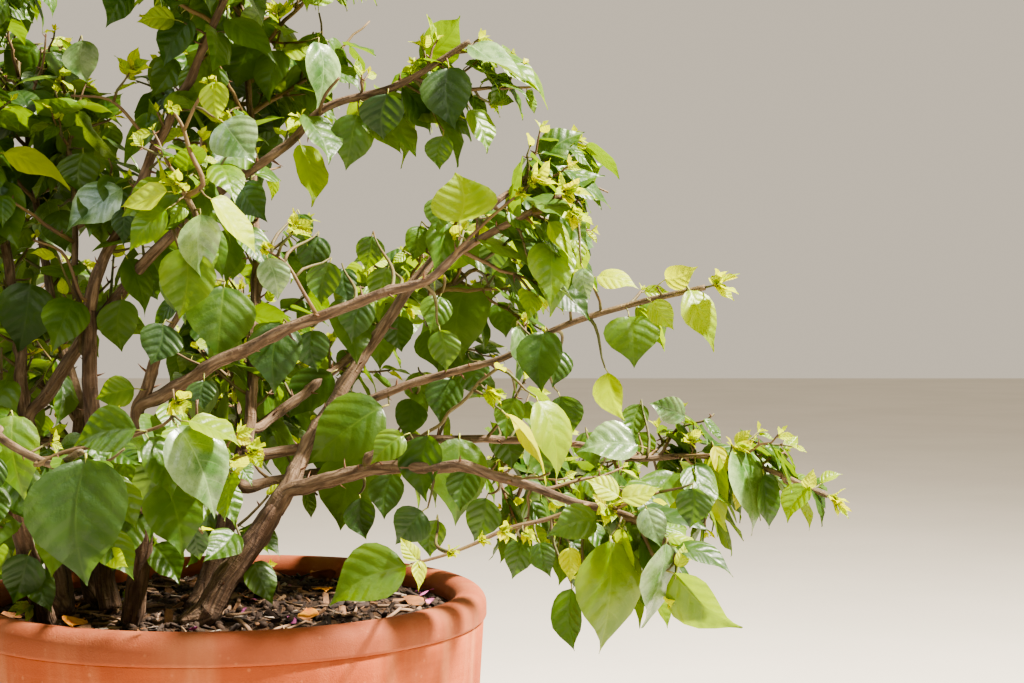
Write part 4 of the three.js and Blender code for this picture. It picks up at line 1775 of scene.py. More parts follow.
    def aged(self, tint: Tint, grown: float) -> Tint:
        """The tint of one leaf of a spray: by its age, and for a few full-grown leaves a painted sheen.

        Args:
            tint: The tint of the spray's full-grown leaves.
            grown: How far this leaf has grown, from 0 to 1.

        Returns:
            The leaf's tint.
        """
        chance = self.random.uniform()
        if grown < self.BUDDING:
            return Tint.GOLD if chance < 0.12 else Tint.LIME
        if grown < self.UNFOLDING:
            return Tint.LIME if chance < 0.35 else Tint.FRESH
        # A few full-grown leaves get the painted sheen.
        if grown > 0.8 and chance > 0.955:
            return Tint.PAINTED_SHEEN
        if grown < self.GROWING and chance < 0.45:
            return Tint.FRESH if tint in (Tint.MIDDLE, Tint.FRESH) else Tint.MIDDLE
        return tint

    def leaf(
        self, course: Course, along: float, turn: float, length: float, tint: Tint, young: bool
    ) -> None:
        """Places one leaf and its stalk.

        Args:
            course: The shoot that carries it.
            along: The distance of its node along the shoot.
            turn: The angle round the shoot.
            length: The blade's length.
            tint: The blade's tint.
            young: True for a young, folded blade.
        """
        random = self.random
        root = course.at(along)
        spread = math.radians(random.uniform(*(self.YOUNG_SPREAD if young else self.SPREAD)))
        stalk = self.side_heading(course, along, turn, spread)
        droop = random.uniform(*(self.YOUNG_DROOP if young else self.DROOP))
        base = root + unit(stalk - UP * 0.18 * droop) * length * self.habit.stalk_share
        out = unit(root - self.CROWN_MIDDLE) * np.array((1.0, 1.0, 0.35))
        ahead = unit(stalk * 0.75 + out * 0.4 - UP * droop + random.normal(0.0, 0.14, 3))
        facing = unit(
            out * random.uniform(0.35, 1.0) + self.LIGHT * 1.05 + random.normal(0.0, 0.44, 3)
        )
        self.leaves.append(Leaf(base, ahead, facing, length, tint, young, root, spray=self.spray))

    def carrier(self, pixel: Sequence[float], courses: Sequence[Course]) -> tuple[Course, float]:
        """The limb that is seen nearest to a pixel, preferring those in front.

        Args:
            pixel: A place in the picture.
            courses: The limbs.

        Returns:
            The limb and the distance along it.
        """
        found = []
        for course in courses:
            along = np.linspace(0.1, 1.0, 60) * course.length
            spots = course.at(along)
            far = np.linalg.norm(Picture.seen(spots) - pixel, axis=1) + self.NEARNESS * spots[:, 1]
            best = int(np.argmin(far))
            found.append((float(far[best]), len(found), float(along[best])))
        _far, number, along = min(found)
        return courses[number], along

    def branch_out(
        self, pixel: Sequence[float], courses: Sequence[Course], back: float = 0.0
    ) -> Course:
        """A thin shoot from the nearest limb to a place that a pixel shows.

        Args:
            pixel: The place in the picture.
            courses: The limbs.
            back: How much further back than usual it ends.

        Returns:
            The shoot's course.
        """
        course, along = self.carrier(pixel, courses)
        root = course.at(along)
        end = Picture.place(pixel, root[1] + back - self.random.uniform(5, 14) * MM)
        reach = float(np.linalg.norm(end - root))
        heading = unit(unit(end - root) + 0.5 * course.heading(along))
        points = arch(root, heading, end, unit(end - root + UP * 0.3 * reach), max(4, int(reach / (6 * MM))))
        return Course(points, np.linspace(min(1.5, 0.7 + reach / 0.06) * MM, 0.55 * MM, len(points)))

    def sighted_leaf(self, row: Sequence[float], tint: Tint, courses: Sequence[Course]) -> None:
        """Hangs one leaf where the photograph shows it.

        Args:
            row: The pixels of its base and its tip, its width, less than 0 if turned from the light,
                and how many mm further back it hangs, where it does.
            tint: Its tint.
            courses: The limbs that can carry it.
        """
        first, last, wide = np.array(row[:2]), np.array(row[2:4]), row[4]
        back = row[5] if len(row) > 5 else 0.0
        stalk = self.STALK_PIXELS * unit(last - first) + (0.0, -4.0)
        twig = self.branch_out(first - stalk, courses, back * MM)
        joint = twig.spots[-1]
        base = Picture.place(first, joint[1])
        tip = Picture.place(last, joint[1] + self.random.uniform(-8, 8) * MM)
        view = unit(Picture.EYE - base)
        side = unit(np.cross(tip - base, view))
        side *= math.copysign(1.0, float(side @ self.LIGHT) * wide)
        shown = abs(wide) / (Picture.NATURAL_WIDTH * float(np.linalg.norm(last - first)))
        slant = math.acos(min(1.0, shown))
        facing = view * math.cos(slant) + side * math.sin(slant)
        length = float(np.linalg.norm(tip - base))
        self.sighted.append(Leaf(base, tip - base, facing, length, tint, False, joint, max(1.0, shown)))
        self.twigs.append(Shoot(twig, 2, tint))
        self.picture.keep_clear(first, last, 0.4 * abs(wide), base[1] + 12 * MM)

    def sighted_bud(self, row: Sequence[float], courses: Sequence[Course]) -> None:
        """Grows a crown of unfolding leaves where the photograph shows one.

        Args:
            row: The pixel of its middle and its size.
            courses: The limbs that can carry it.
        """
        twig = self.branch_out(row[:2], courses)
        self.twigs.append(Shoot(twig, 2, Tint.FRESH))
        front = twig.spots[-1][1] - 6 * MM
        self.picture.keep_clear(row[:2], row[:2], self.BUD_PIXELS * row[2], front)
        turn = self.random.uniform(0, 2 * math.pi)
        for number in range(10):
            length = self.random.uniform(8, 17) * row[2] * MM
            along = twig.length * (1 - 0.03 * number)
            tint = (Tint.LIME, Tint.LIME, Tint.GOLD, Tint.FRESH)[number % 4]
            self.leaf(twig, along, turn, length, tint, True)
            self.sighted.append(self.leaves.pop())
            turn += GOLDEN_ANGLE
        self.tuft(twig)

    def after_the_photograph(self, courses: Sequence[Course]) -> None:
        """Places the leaves and buds that the photograph shows clearly.

        Args:
            courses: The limbs that can carry them.
        """
        courses = list(courses)
        for thick, *pixels in Picture.TWIGS:
            limb, along = self.carrier(pixels[0], courses)
            root = limb.at(along)
            depths = root[1] - np.linspace(6, 16, len(pixels)) * MM
            turns = [Picture.place(pixel, depth) for pixel, depth in zip(pixels, depths)]
            line = Course(np.vstack([root, turns]), np.linspace(thick * MM, 0.9 * MM, len(pixels) + 1))
            twig = line.evened(5 * MM)
            self.twigs.append(Shoot(twig, 1, Tint.MATURE))
            courses.append(twig)
        for tint, rows in Picture.LEAVES.items():
            for row in rows:
                self.sighted_leaf(row, tint, courses)
        for row in Picture.BUDS:
            self.sighted_bud(row, courses)

    def tuft(self, course: Course) -> None:
        """Ends a shoot in its tuft of unfolding leaves.

        Args:
            course: The shoot.
        """
        size = self.random.uniform(5, 11) * MM
        heading = unit(course.heading(course.length) + UP * 0.25)
        tint = Tint.GOLD if self.random.uniform() < 0.15 else Tint.LIME
        side = unit(np.cross(heading, self.random.normal(0.0, 1.0, 3)))
        self.tufts.append(Leaf(course.spots[-1], side, heading, size, tint, True, spray=self.spray))

    def thorn(self, course: Course, along: float, turn: float, longest: float) -> None:
        """Adds a thorn at a node.

        Args:
            course: The limb or shoot that carries it.
            along: The distance of the node along it.
            turn: The angle round it.
            longest: The most that it stands out.
        """
        spread = math.radians(self.random.uniform(*self.THORN_SPREAD))
        heading = self.side_heading(course, along, turn, spread)
        radius = float(course.thickness(along))
        length = longest * self.random.uniform(0.55, 1.0) + radius
        root = course.at(along)
        bend = unit(heading + course.heading(along) * 0.25)
        points = arch(root, heading, root + heading * length, bend, 4)
        radii = np.array((1.0, 0.8, 0.5, 0.08)) * min(1.1 * MM, 0.55 * radius + 0.3 * MM)
        self.thorns.append(Shoot(Course(points, radii), 3, Tint.MATURE, self.spray))

    def spur(self, root: np.ndarray, heading: np.ndarray, mass: Mass | None) -> None:
        """Grows a short leafy spur.

        Args:
            root: Where it starts.
            heading: The direction in which it grows.
            mass: The mass that it grows in, or nothing on bare wood.
        """
        behind = mass is None and root[1] > self.BEHIND
        length = self.random.uniform(*(self.SPUR_LENGTH_BEHIND if behind else self.SPUR_LENGTH)) * MM
        end = root + unit(heading + UP * 0.3) * length
        points = arch(root, heading, end, unit(heading + UP * 0.5), 5)
        course = Course(points, np.linspace(1.3 * MM, 0.8 * MM, 5))
        tint = Tint.MATURE if mass is None else self.spray_tint(end, mass)
        self.sprout(Shoot(course, 2, tint))
        if behind:
            self.dress(course, tint, 0.2)
            self.spray = 0
            return
        turn = self.random.uniform(0, 2 * math.pi)
        for node in range(int(self.random.integers(2, 5))):
            length = self.random.uniform(*self.SPUR_LEAF) * MM
            grown = float(np.clip((length - 10 * MM) / (30 * MM), 0.1, 0.95))
            place = course.length * (0.4 + 0.17 * node)
            self.leaf(course, min(place, course.length), turn, length, self.aged(tint, grown), grown < 0.5)
            turn += GOLDEN_ANGLE
        self.tuft(course)
        self.spray = 0

    def clothe_bare_wood(self, course: Course, bare: float) -> None:
        """Puts thorns and a few short spurs on a bough before its mass.

        Args:
            course: The bough.
            bare: The length of its bare stretch.
        """
        random = self.random
        along = 0.03
        turn = random.uniform(0, 2 * math.pi)
        while along < bare:
            chance = random.uniform()
            if chance < self.SPUR_CHANCE:
                spread = math.radians(random.uniform(*self.SPUR_SPREAD))
                heading = self.side_heading(course, along, turn, spread)
                self.spur(course.at(along), heading, None)
            if chance > self.NO_THORN_CHANCE:
                self.thorn(course, along, turn + 0.5, self.LONG_THORN)
            turn += GOLDEN_ANGLE
            along += random.uniform(8, 16) * MM


class Foliage:
    """Turns the grown leaves, shoots, thorns and tufts into the pieces that show."""

    MATURE_FORMS = 9
    YOUNG_FORMS = 5
    TUFT_FORMS = 5
    POT_CLEARANCE = 2 * MM
    MOST_OVER = 0.34
    MOST_OVER_BY_SHOOTS = 0.66

    def __init__(self, growth: Growth, pot: "Pot", nodes: Sequence[str]) -> None:
        """Args:
        growth: The grown crown.
        pot: The pot that leaves keep clear of.
        nodes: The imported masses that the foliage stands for.
        """
        self.growth = growth
        self.pot = pot
        self.nodes = nodes
        self.random = np.random.default_rng(SEED + 1)
        self.forms = [LeafShape(self.random, False).shape() for _ in range(self.MATURE_FORMS)]
        self.young = [LeafShape(self.random, True).shape() for _ in range(self.YOUNG_FORMS)]
        self.tufts = [tuft_shape(self.random) for _ in range(self.TUFT_FORMS)]

    def fits(self, spots: np.ndarray) -> bool:
        """Tells whether a leaf or shoot has room.

        Args:
            spots: Its vertices.

        Returns:
            True if they are inside the size limits and clear of the pot and the soil.
        """
        low, high = self.growth.limits
        inside = bool((spots >= low).all() and (spots <= high).all())
        return inside and self.pot.clear_of(spots, self.POT_CLEARANCE)

    def free(self, spots: np.ndarray, most: float = MOST_OVER) -> bool:
        """True if the vertices fit and hide no more than a share of what the photograph shows."""
        return self.fits(spots) and not self.growth.picture.covered(spots, most)

    def hidden(self) -> set[int]:
        """Finds the shoots that have no room or hide what the photograph shows.

        Returns:
            Their numbers.
        """
        lost: set[int] = set()
        most = self.MOST_OVER_BY_SHOOTS
        for number, shoot in enumerate(self.growth.shoots, 1):
            if shoot.carrier in lost or not self.free(shoot.rod().bent(shoot.course), most):
                lost.add(number)
        return lost

    def leafy(self, kept: Sequence[Leaf]) -> set[int]:
        """The shoots that still carry a fair share of their leaves, so that none shows as a bare stick.

        Args:
            kept: The leaves that have room.

        Returns:
            The numbers of the shoots, with 0 for the limbs.
        """
        shoots = self.growth.shoots
        counts = np.zeros((2, len(shoots) + 1))
        for row, leaves in enumerate((kept, self.growth.leaves)):
            for leaf in leaves:
                counts[row, leaf.spray] += 1
                if leaf.spray:
                    counts[row, shoots[leaf.spray - 1].carrier] += 1
        full = counts[0] >= self.growth.habit.leafy_share * np.maximum(counts[1], 1)
        found = {0}
        for number, shoot in enumerate(shoots, 1):
            if full[number] and shoot.carrier in found:
                found.add(number)
        return found

    def wood(self, leafy: set[int]) -> dict[int, Heap]:
        """Joins the shoots and thorns.

        Args:
            leafy: The numbers of the shoots that carry leaves.

        Returns:
            The joined copies by order of branching.
        """
        growth = self.growth
        heaps = {1: Heap(), 2: Heap(), 3: Heap()}
        grown = [shoot for number, shoot in enumerate(growth.shoots, 1) if number in leafy]
        thorns = [thorn for thorn in growth.thorns if thorn.carrier in leafy]
        for shoot in (*growth.twigs, *grown, *thorns):
            rod = shoot.rod()
            spots = rod.bent(shoot.course)
            if self.fits(spots):
                heaps[shoot.order].add(rod.shape, spots)
        return heaps

    def build(self) -> None:
        """Makes the leaf pieces, one for each tint, and the shoots, stalks and thorns."""
        growth = self.growth
        lost = self.hidden()
        blades = {tint: Heap() for tint in Tint}
        stalks = Heap()
        stalk_rod = Rod.with_size(3, 2)
        kept = []
        for number, leaf in enumerate(growth.sighted + growth.leaves):
            forms = self.young if leaf.young else self.forms
            shape = forms[int(self.random.integers(len(forms)))]
            spots = leaf.placed(shape)
            most = 1.0 if number < len(growth.sighted) else self.MOST_OVER
            if leaf.spray not in lost and self.free(spots, most):
                kept.append((leaf, shape, spots))
        leafy = self.leafy([leaf for leaf, _shape, _spots in kept]) - lost
        for leaf, shape, spots in kept:
            if leaf.spray not in leafy:
                continue
            blades[leaf.tint].add(shape, spots)
            into = leaf.base + unit(leaf.ahead) * leaf.length * 0.06
            bend = arch(leaf.root, unit(leaf.base - leaf.root), into, unit(leaf.ahead), 3)
            thick = max(0.5, leaf.length * 13) * MM
            stalks.add(stalk_rod.shape, stalk_rod.bent(Course(bend, np.linspace(thick, thick * 0.75, 3))))
        for tuft in growth.tufts:
            shape = self.tufts[int(self.random.integers(len(self.tufts)))]
            spots = tuft.placed(shape)
            if tuft.spray in leafy and self.free(spots):
                blades[tuft.tint].add(shape, spots)
        wood = self.wood(leafy)
        log.info("leaves kept: %d of %d, tufts: %d", len(kept), len(growth.leaves), len(growth.tufts))
        for tint, heap in blades.items():
            mesh = heap.mesh("leaves_" + tint.value, LeafShape.MAP)
            show(mesh.name, mesh, LEAF_FINISHES[tint].material(), self.nodes)
        named = {"brown_shoots": wood[1], "green_shoots": wood[2], "leaf_stalks": stalks, "thorns": wood[3]}
        for name, heap in named.items():
            show(name, heap.mesh(name), SHOOT_SKINS[name].material(), self.nodes)


# Pot and soil


@dataclass
class Pot:
    """A large terracotta pot with a rolled lip, a standing foot and three drain holes."""

    height: float = 363 * MM
    rim_radius: float = 183 * MM
    lip_height: float = 20 * MM
    lip_width: float = 24 * MM
    lip_rounding: float = 11 * MM
    groove: float = 0.8 * MM
    wall_top: float = 181 * MM
    wall_foot: float = 134 * MM
    belly: float = 10 * MM
    wall: float = 17 * MM
    foot_radius: float = 140 * MM
    foot_height: float = 36 * MM
    foot_rounding: float = 8 * MM
    base: float = 24 * MM
    drain_radius: float = 10 * MM
    drain_circle: float = 74 * MM
    soil_level: float = 350 * MM
    turns: int = 144
    wall_steps: int = 26
    round_steps: int = 7

    @property
    def lip_foot(self) -> float:
        """The height at which the lip begins."""
        return self.height - self.lip_height

    def outer_radius(self, height: float) -> float:
        """Draws the wall's outside, slightly bellied.

        Args:
            height: The height over the ground.

        Returns:
            The outer radius there.
        """
        share = (height - self.foot_height) / (self.lip_foot - self.foot_height)
        straight = self.wall_foot + (self.wall_top - self.wall_foot) * share
        return straight + self.belly * math.sin(math.pi * min(max(share, 0.0), 1.0))

    def inner_radius(self, height: float) -> float:
        """The wall's inner radius at a height, narrower inside the lip."""
        if height > self.lip_foot:
            return self.rim_radius - self.lip_width
        return self.outer_radius(max(height, self.foot_height)) - self.wall

    def round(self, radius: float, height: float, size: float, low: float, high: float) -> Outline:
        """Points on a corner rounded by a size about its centre, between two angles in degrees."""
        angles = np.radians(np.linspace(low, high, self.round_steps))
        return [(radius + size * math.cos(a), height + size * math.sin(a)) for a in angles]

    def profile(self) -> Outline:
        """Draws the pot's outline from the middle of its underside round to the middle of its floor.

        Returns:
            The points as radius and height.
        """
        foot = self.foot_radius - self.foot_rounding
        inside = self.rim_radius - self.lip_width
        steps = np.linspace(self.foot_height + 2 * MM, self.lip_foot - self.groove, self.wall_steps)
        lip = self.rim_radius - self.lip_rounding
        top = self.height - self.lip_rounding
        small = 3 * MM
        return [
            (0.0, 0.0),
            (self.drain_circle, 0.0),
            *self.round(foot, self.foot_rounding, self.foot_rounding, -90, 0),
            *self.round(foot, self.foot_height - self.foot_rounding, self.foot_rounding, 0, 80),
            *[(self.outer_radius(height), height) for height in steps],
            (self.outer_radius(self.lip_foot) - self.groove * 0.6, self.lip_foot),
            *self.round(self.rim_radius - small, self.lip_foot + small, small, -70, 0),
            *self.round(lip, top, self.lip_rounding, 0, 90),
            *self.round(inside + self.lip_rounding, top, self.lip_rounding, 90, 180),
            *[(self.inner_radius(height), height) for height in steps[::-2]],
            (self.inner_radius(self.base), self.base),
            (self.drain_circle, self.base),
            (0.0, self.base),
        ]

    def spun(self, profile: Outline) -> bmesh.types.BMesh:
        """Turns an outline about the upright axis into a closed body.

        Args:
            profile: The outline as radius and height.

        Returns:
            The body.
        """
        bm = bmesh.new()
        verts = [bm.verts.new((radius, 0.0, height)) for radius, height in profile]
        edges = [bm.edges.new(pair) for pair in zip(verts, verts[1:])]
        bmesh.ops.spin(
            bm,
            geom=verts + edges,
            cent=(0.0, 0.0, 0.0),
            axis=(0.0, 0.0, 1.0),
            angle=2 * math.pi,
            steps=self.turns,
            use_merge=True,
        )
        bmesh.ops.remove_doubles(bm, verts=bm.verts[:], dist=MERGE_GAP)
        bmesh.ops.recalc_face_normals(bm, faces=bm.faces[:])
        return bm

    def drained(self, mesh: bpy.types.Mesh) -> bpy.types.Mesh:
        """Cuts the drain holes through the base.

        Args:
            mesh: The whole pot.

        Returns:
            The pot with its holes.
        """
        bm = bmesh.new()
        for hole in range(3):
            angle = hole * 2 * math.pi / 3 + math.pi / 6
            spot = (self.drain_circle * math.cos(angle), self.drain_circle * math.sin(angle), 0.0)
            bmesh.ops.create_cone(
                bm,
                cap_ends=True,
                segments=24,
                radius1=self.drain_radius,
                radius2=self.drain_radius,
                depth=self.base * 3,
                matrix=Matrix.Translation(spot),
            )
        cutter = in_scene("drill", mesh_of(bm, "drill"))
        body = in_scene("drilled", mesh)
        cut = body.modifiers.new("drain holes", "BOOLEAN")
        cut.object = cutter
        cut.solver = "EXACT"
        graph = bpy.context.evaluated_depsgraph_get()
        made = bpy.data.meshes.new_from_object(body.evaluated_get(graph))
        for piece in (cutter, body):
            bpy.data.objects.remove(piece)
        return made

    def clear_of(self, spots: np.ndarray, gap: float) -> bool:
        """True if no vertex is in the pot's wall, in the soil or under the rim inside the pot.

        Args:
            spots: The vertices.
            gap: The clearance that is kept.

        Returns:
            Whether they are clear.
        """
        far = np.hypot(spots[:, 0], spots[:, 1])
        low = spots[:, 2]
        over_soil = (far < self.rim_radius - self.lip_width - gap) & (low > self.soil_level + gap)
        outside = (far > self.rim_radius + gap) | (low > self.height + gap)
        return bool((over_soil | outside).all())

    def build(self) -> None:
        """Makes the pot's piece."""
        bm = self.spun(self.profile())
        for vert in bm.verts:
            if vert.co.z > self.base:
                sway = noise.noise(vert.co * 7.0) * 0.7 * MM + noise.noise(vert.co * 40.0) * 0.2 * MM
                flat = Vector((vert.co.x, vert.co.y, 0.0))
                vert.co += flat.normalized() * (sway - 0.7 * MM)
        made = self.drained(mesh_of(bm, "pot_whole"))
        made.name = "terracotta_pot"
        made.shade_smooth()
        made.materials.clear()
        made.set_sharp_from_angle(angle=math.radians(50))
        show("terracotta_pot", made, TerracottaFinish().material(), ["pot"])


@dataclass
class Soil:
    """The soil in the pot, with crumbs, chips, dry twigs and fallen leaves lying on it."""

    pot: Pot
    gap: float = 0.6 * MM
    rings: int = 46
    crumbs: int = 1500
    chips: int = 640
    twigs: int = 80
    random: np.random.Generator = field(default_factory=lambda: np.random.default_rng(SEED + 2))

    CRUMBS = (paint(40, 28, 21), paint(68, 49, 35))
    DARK_CHIPS = (paint(56, 38, 27), paint(34, 24, 18))
    TAN_CHIPS = (paint(134, 98, 68), paint(92, 64, 44))
    GREY_CHIPS = (paint(156, 142, 128), paint(98, 84, 72))
    DRY_LEAVES = (paint(150, 98, 54), paint(108, 68, 38))
    YELLOW_LEAVES = (paint(208, 150, 52), paint(176, 96, 40))
    PINK_BITS = (paint(206, 110, 158), paint(150, 70, 132))
    ROUGHNESS = ((5.0, 22), (3.2, 75), (1.4, 190))

    @property
    def radius(self) -> float:
        """The radius of the soil's surface."""
        return self.pot.inner_radius(self.pot.soil_level) - self.gap

    def surface(self, x: float, y: float) -> float:
        """Makes the soil's surface uneven, but level at its edge.

        Args:
            x: The place's x coordinate.
            y: The place's y coordinate.

        Returns:
            The height of the surface there.
        """
        spot = Vector((x, y, 0.0))
        rough = sum(height * noise.noise(spot * scale) for height, scale in self.ROUGHNESS)
        edge = min(1.0, (self.radius - math.hypot(x, y)) / 0.012)
        return self.pot.soil_level + (rough * max(edge, 0.0) - 1.5) * MM

    def body(self) -> bpy.types.Mesh:
        """Models the closed body of soil with its uneven surface.

        Returns:
            The mesh.
        """
        base = self.pot.base + 0.3 * MM
        heights = np.linspace(self.pot.foot_height, self.pot.soil_level - 4 * MM, 5)
        profile = [(0.0, base), (self.pot.inner_radius(base) - self.gap, base)]
        profile += [(self.pot.inner_radius(height) - self.gap, height) for height in heights]
        profile += [(radius, self.pot.soil_level) for radius in np.linspace(self.radius, 0, self.rings)]
        bm = self.pot.spun(profile)
        for vert in bm.verts:
            if vert.co.z > self.pot.soil_level - 1 * MM:
                vert.co.z = self.surface(vert.co.x, vert.co.y)
        mesh = mesh_of(bm, "soil_bed")
        mesh.shade_smooth()
        return mesh

    def crumb_shape(self) -> Shape:
        """Models a rough round crumb.

        Returns:
            The crumb, a unit across.
        """
        bm = bmesh.new()
        bmesh.ops.create_icosphere(bm, subdivisions=1, radius=0.5)
        for vert in bm.verts:
            vert.co *= self.random.uniform(0.72, 1.15)
            vert.co.z *= 0.7
        return Shape.of(bm)

    def chip_shape(self) -> Shape:
        """Models a flat splinter of bark.

        Returns:
            The splinter, a unit long.
        """
        bm = bmesh.new()
        bmesh.ops.create_cube(bm, size=1.0)
        bmesh.ops.scale(bm, verts=bm.verts[:], vec=(1.0, self.random.uniform(0.14, 0.4), 0.1))
        bmesh.ops.bevel(
            bm,
            geom=bm.edges[:],
            offset=0.05,
            segments=1,
            profile=0.5,
            affect="EDGES",
            material=-1,
        )
        for vert in bm.verts:
            vert.co += Vector(self.random.normal(0.0, 0.035, 3))
            vert.co.z += 0.2 * vert.co.x * vert.co.x
        return Shape.of(bm)

    def scatter(self, forms: Sequence[Shape], count: int, low: float, high: float, tilt: float) -> Heap:
        """Lays copies of some shapes on the soil.

        Args:
            forms: The shapes.
            count: How many copies.
            low: The smallest size.
            high: The largest size.
            tilt: How far they tip out of level, in degrees.

        Returns:
            The joined copies.
        """
        heap = Heap()
        for number in range(count):
            size = low + (high - low) * self.random.uniform() ** 2.2
            far = (self.radius - size * 0.6 - 1 * MM) * math.sqrt(self.random.uniform())
            angle = self.random.uniform(0, 2 * math.pi)
            x, y = far * math.cos(angle), far * math.sin(angle)
            shape = forms[number % len(forms)]
            tip = self.random.normal(0.0, math.radians(tilt), 2)
            turn = (
                Matrix.Rotation(self.random.uniform(0, 2 * math.pi), 3, "Z")
                @ Matrix.Rotation(tip[0], 3, "X")
                @ Matrix.Rotation(tip[1], 3, "Y")
            )
            spots = shape.spots * size @ np.array(turn).T
            lift = self.surface(x, y) + size * 0.08
            heap.add(shape, spots + np.array((x, y, lift)))
        return heap

    def dry_twigs(self) -> Heap:
        """Lays thin broken twigs on the soil.

        Returns:
            The joined twigs.
        """
        heap = Heap()
        for _twig in range(self.twigs):
            length = self.random.uniform(18, 64) * MM
            far = (self.radius - length * 0.6) * math.sqrt(self.random.uniform())
            angle, turn = self.random.uniform(0, 2 * math.pi, 2)
            middle = np.array((far * math.cos(angle), far * math.sin(angle)))
            ahead = np.array((math.cos(turn), math.sin(turn)))
            spots = []
            for share in np.linspace(-0.5, 0.5, 5):
                x, y = middle + ahead * length * share + self.random.normal(0.0, 0.7 * MM, 2)
                spots.append((x, y, self.surface(x, y) + self.random.uniform(0.8, 2.6) * MM))
            thick = self.random.uniform(0.7, 1.9) * MM
            rod = Rod.with_size(6, 4)
            heap.add(rod.shape, rod.bent(Course(np.array(spots), np.linspace(thick, thick * 0.6, 5))))
        return heap

    def build(self) -> None:
        """Makes the pieces of the soil and of what lies on it."""
        show("soil_bed", self.body(), SoilFinish().material(), ["soil"])
        crumbs = [self.crumb_shape() for _ in range(6)]
        chips = [self.chip_shape() for _ in range(8)]
        blades = [LeafShape(self.random, number % 2 == 0).shape() for number in range(4)]
        loose = {
            "soil_crumbs": (crumbs, self.crumbs, 2.0, 8.0, 30.0, *self.CRUMBS),
            "bark_chips_dark": (chips, self.chips, 4.0, 17.0, 24.0, *self.DARK_CHIPS),
            "bark_chips_tan": (chips, self.chips // 4, 4.0, 18.0, 26.0, *self.TAN_CHIPS),
            "bark_chips_grey": (chips, self.chips // 6, 4.0, 13.0, 26.0, *self.GREY_CHIPS),
            "dry_leaves": (blades, 14, 14.0, 30.0, 14.0, *self.DRY_LEAVES),
            "yellow_leaves": (blades, 12, 12.0, 30.0, 14.0, *self.YELLOW_LEAVES),
            "fallen_pink_bits": (blades, 16, 9.0, 18.0, 16.0, *self.PINK_BITS),
        }
        for name, (forms, count, low, high, tilt, skin, shade) in loose.items():
            heap = self.scatter(forms, count, low * MM, high * MM, tilt)
            finish = ShootFinish(name.replace("_", " "), skin, shade, 0.8, 120.0)
            show(name, heap.mesh(name), finish.material())
        finish = ShootFinish("dry twigs", paint(146, 118, 92), paint(92, 68, 50), 0.8)
        show("dry_twigs", self.dry_twigs().mesh("dry_twigs"), finish.material())


# The whole crown


class Crown:
    """Every stem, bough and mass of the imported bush, read back and grown on."""

    STEM_SHAPE = BarkShape(28, 2.6 * MM, 0.018, 0.24, 21 * MM, 0.9 * MM)
    BOUGH_SHAPE = BarkShape(16, 3.0 * MM, 0.006, 0.3, 19 * MM, 0.7 * MM)
    STEM_REACH = 22 * MM
    LEADER_TIP = 1.1 * MM
    TRACED_TIP = 1.7
    SPURRED_SHARE = 0.8
    OVERHANG = 6 * MM

    def __init__(self, nodes: Sequence[str], pot: Pot) -> None:
        """Args:
        nodes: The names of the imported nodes.
        pot: The pot that the leaves keep clear of.
        """
        self.pot = pot
        self.masses = {
            node.removesuffix("_foliage"): Mass(node) for node in sorted(nodes) if node.endswith("_foliage")
        }
        self.stems = {
            node: Limb(node, box_middle(node) + UP, None) for node in sorted(nodes) if node.endswith("_stem")
        }
        self.boughs = {
            name: Limb(name + "_bough", mass.middle, None) for name, mass in self.masses.items()
        }
        for limb in self.boughs.values():
            limb.parent = self.parent_of(limb)
        low, high = (np.array(corner) for corner in CAD_BOX)
        self.growth = Growth(Habit(), (low - self.OVERHANG, high + self.OVERHANG))

    def parent_of(self, limb: Limb) -> Limb:
        """The limb that a bough leaves.

        Args:
            limb: The bough.

        Returns:
            The nearest stem if it is close, or else the nearest other bough.
        """
        root = limb.course.spots[0]

        def gap(other: Limb) -> float:
            """The distance from the bough's root to another limb."""
            return float(np.linalg.norm(other.course.nearest(root)[0] - root))

        stem = min(self.stems.values(), key=gap)
        if gap(stem) < self.STEM_REACH:
            return stem
        return min((other for other in self.boughs.values() if other is not limb), key=gap)

    def build(self) -> None:
        """Makes the bark of every limb and then the foliage."""
        old, young = OLD_BARK.material(), BOUGH_BARK.material()
        courses = []
        for number, limb in enumerate(self.stems.values()):
            bark = Bark(limb, self.STEM_SHAPE, SEED * 100 + number)
            bark.course = bark.course.evened(self.STEM_SHAPE.ring_step)
            show(limb.node + "_bark", bark.mesh(), old, [limb.node])
            courses.append(bark.course)
            self.growth.picture.keep_wood_clear(limb.node, bark.course)
            self.growth.clothe_bare_wood(bark.course, bark.bare_length * self.SPURRED_SHARE)
        for number, (name, limb) in enumerate(self.boughs.items()):
            mass = self.masses[name]
            bark = Bark(limb, self.BOUGH_SHAPE, SEED * 200 + number)
            tip = self.LEADER_TIP * (self.TRACED_TIP if name in Picture.WAYS else 1.0)
            bark.grow_on(self.growth.leader(bark.course, mass), tip)
            show(limb.node + "_bark", bark.mesh(), young, [limb.node])
            courses.append(bark.course)
            self.growth.picture.keep_wood_clear(limb.node, bark.course)
            clear = bark.course.length if name == "long" else bark.bare_length
            self.growth.clothe_bare_wood(bark.course, clear)
            self.growth.fill(bark.course, bark.bare_length, mass)
        self.growth.after_the_photograph(courses)
        Foliage(self.growth, self.pot, [mass.node for mass in self.masses.values()]).build()


def box_middle(node: str) -> np.ndarray:
    """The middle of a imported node's box."""
    low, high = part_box(node)
    return np.array((low + high) / 2)


# Studio


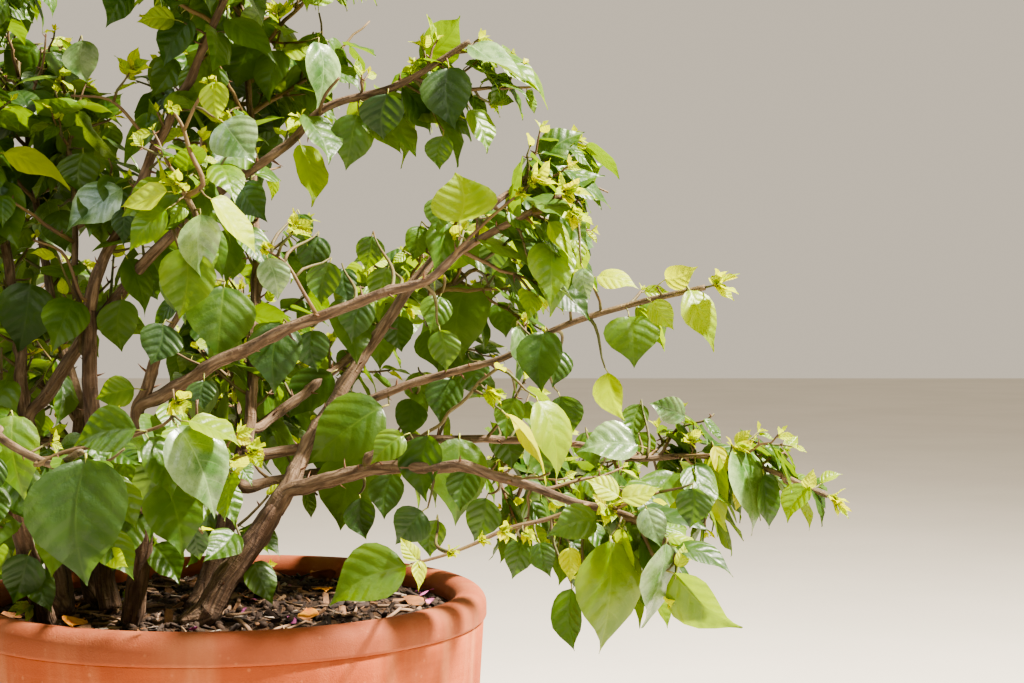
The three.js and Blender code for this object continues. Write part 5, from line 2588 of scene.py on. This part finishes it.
@dataclass
class Studio:
    """A plain pale floor, soft lights and the camera at the photograph's viewing angle."""

    camera_pitch: float = -1.3
    lens: float = 65.4
    floor_size: float = 12.0
    light_aim: tuple[float, float, float] = (-0.04, -0.04, 0.5)
    room_colour: Colour = paint(240, 228, 208)
    room_strength: float = 0.7

    def floor(self) -> None:
        """Lays the floor."""
        bm = bmesh.new()
        bmesh.ops.create_grid(bm, x_segments=8, y_segments=8, size=self.floor_size)
        mesh = mesh_of(bm, "floor")
        mesh.materials.append(FloorFinish().material())
        in_scene("floor", mesh)

    def light(
        self, name: str, at: Sequence[float], size: float, power: float, colour: Sequence[float]
    ) -> None:
        """Hangs one soft light that points at the crown.

        Args:
            name: Its name.
            at: Its place.
            size: The side of its square face.
            power: Its power in watts.
            colour: Its colour.
        """
        lamp = bpy.data.lights.new(name, "AREA")
        lamp.size = size
        lamp.energy = power
        lamp.color = colour
        holder = in_scene(name, lamp)
        holder.location = at
        aim = Vector(self.light_aim) - Vector(at)
        holder.rotation_euler = aim.to_track_quat("-Z", "Y").to_euler()

    def world(self) -> None:
        """Fills the room with pale, even light."""
        world = bpy.data.worlds.new("pale room")
        world.use_nodes = True
        shade = world.node_tree.nodes["Background"]
        shade.inputs["Color"].default_value = self.room_colour
        shade.inputs["Strength"].default_value = self.room_strength
        bpy.context.scene.world = world

    def camera(self) -> None:
        """Sets up the camera."""
        lens = bpy.data.cameras.new("camera")
        lens.lens = self.lens
        lens.sensor_width = 36.0
        lens.clip_start = 0.05
        camera = in_scene("camera", lens)
        camera.location = Picture.EYE
        camera.rotation_euler = (math.radians(90 + self.camera_pitch), 0.0, 0.0)
        bpy.context.scene.camera = camera

    def build(self) -> None:
        """Puts up the floor, the lights, the room and the camera."""
        bpy.context.scene.view_settings.look = "AgX - Medium High Contrast"
        self.floor()
        self.world()
        self.camera()
        self.light("sun side", (1.56, -0.15, 2.4), 0.14, 400.0, (1.0, 0.93, 0.82))
        self.light("front light", (0.86, -2.05, 1.9), 0.8, 20.0, (1.0, 0.97, 0.92))
        self.light("sky side", (-1.44, -0.95, 2.2), 1.2, 30.0, (0.8, 0.9, 1.0))


def main() -> None:
    """Builds the pot, the soil, the crown and the studio."""
    logging.basicConfig(level=logging.INFO, format="%(message)s")
    pot = Pot()
    pot.build()
    Soil(pot).build()
    Crown(list(frame["nodes"]), pot).build()
    Studio().build()
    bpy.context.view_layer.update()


if __name__ == "__main__":
    main()
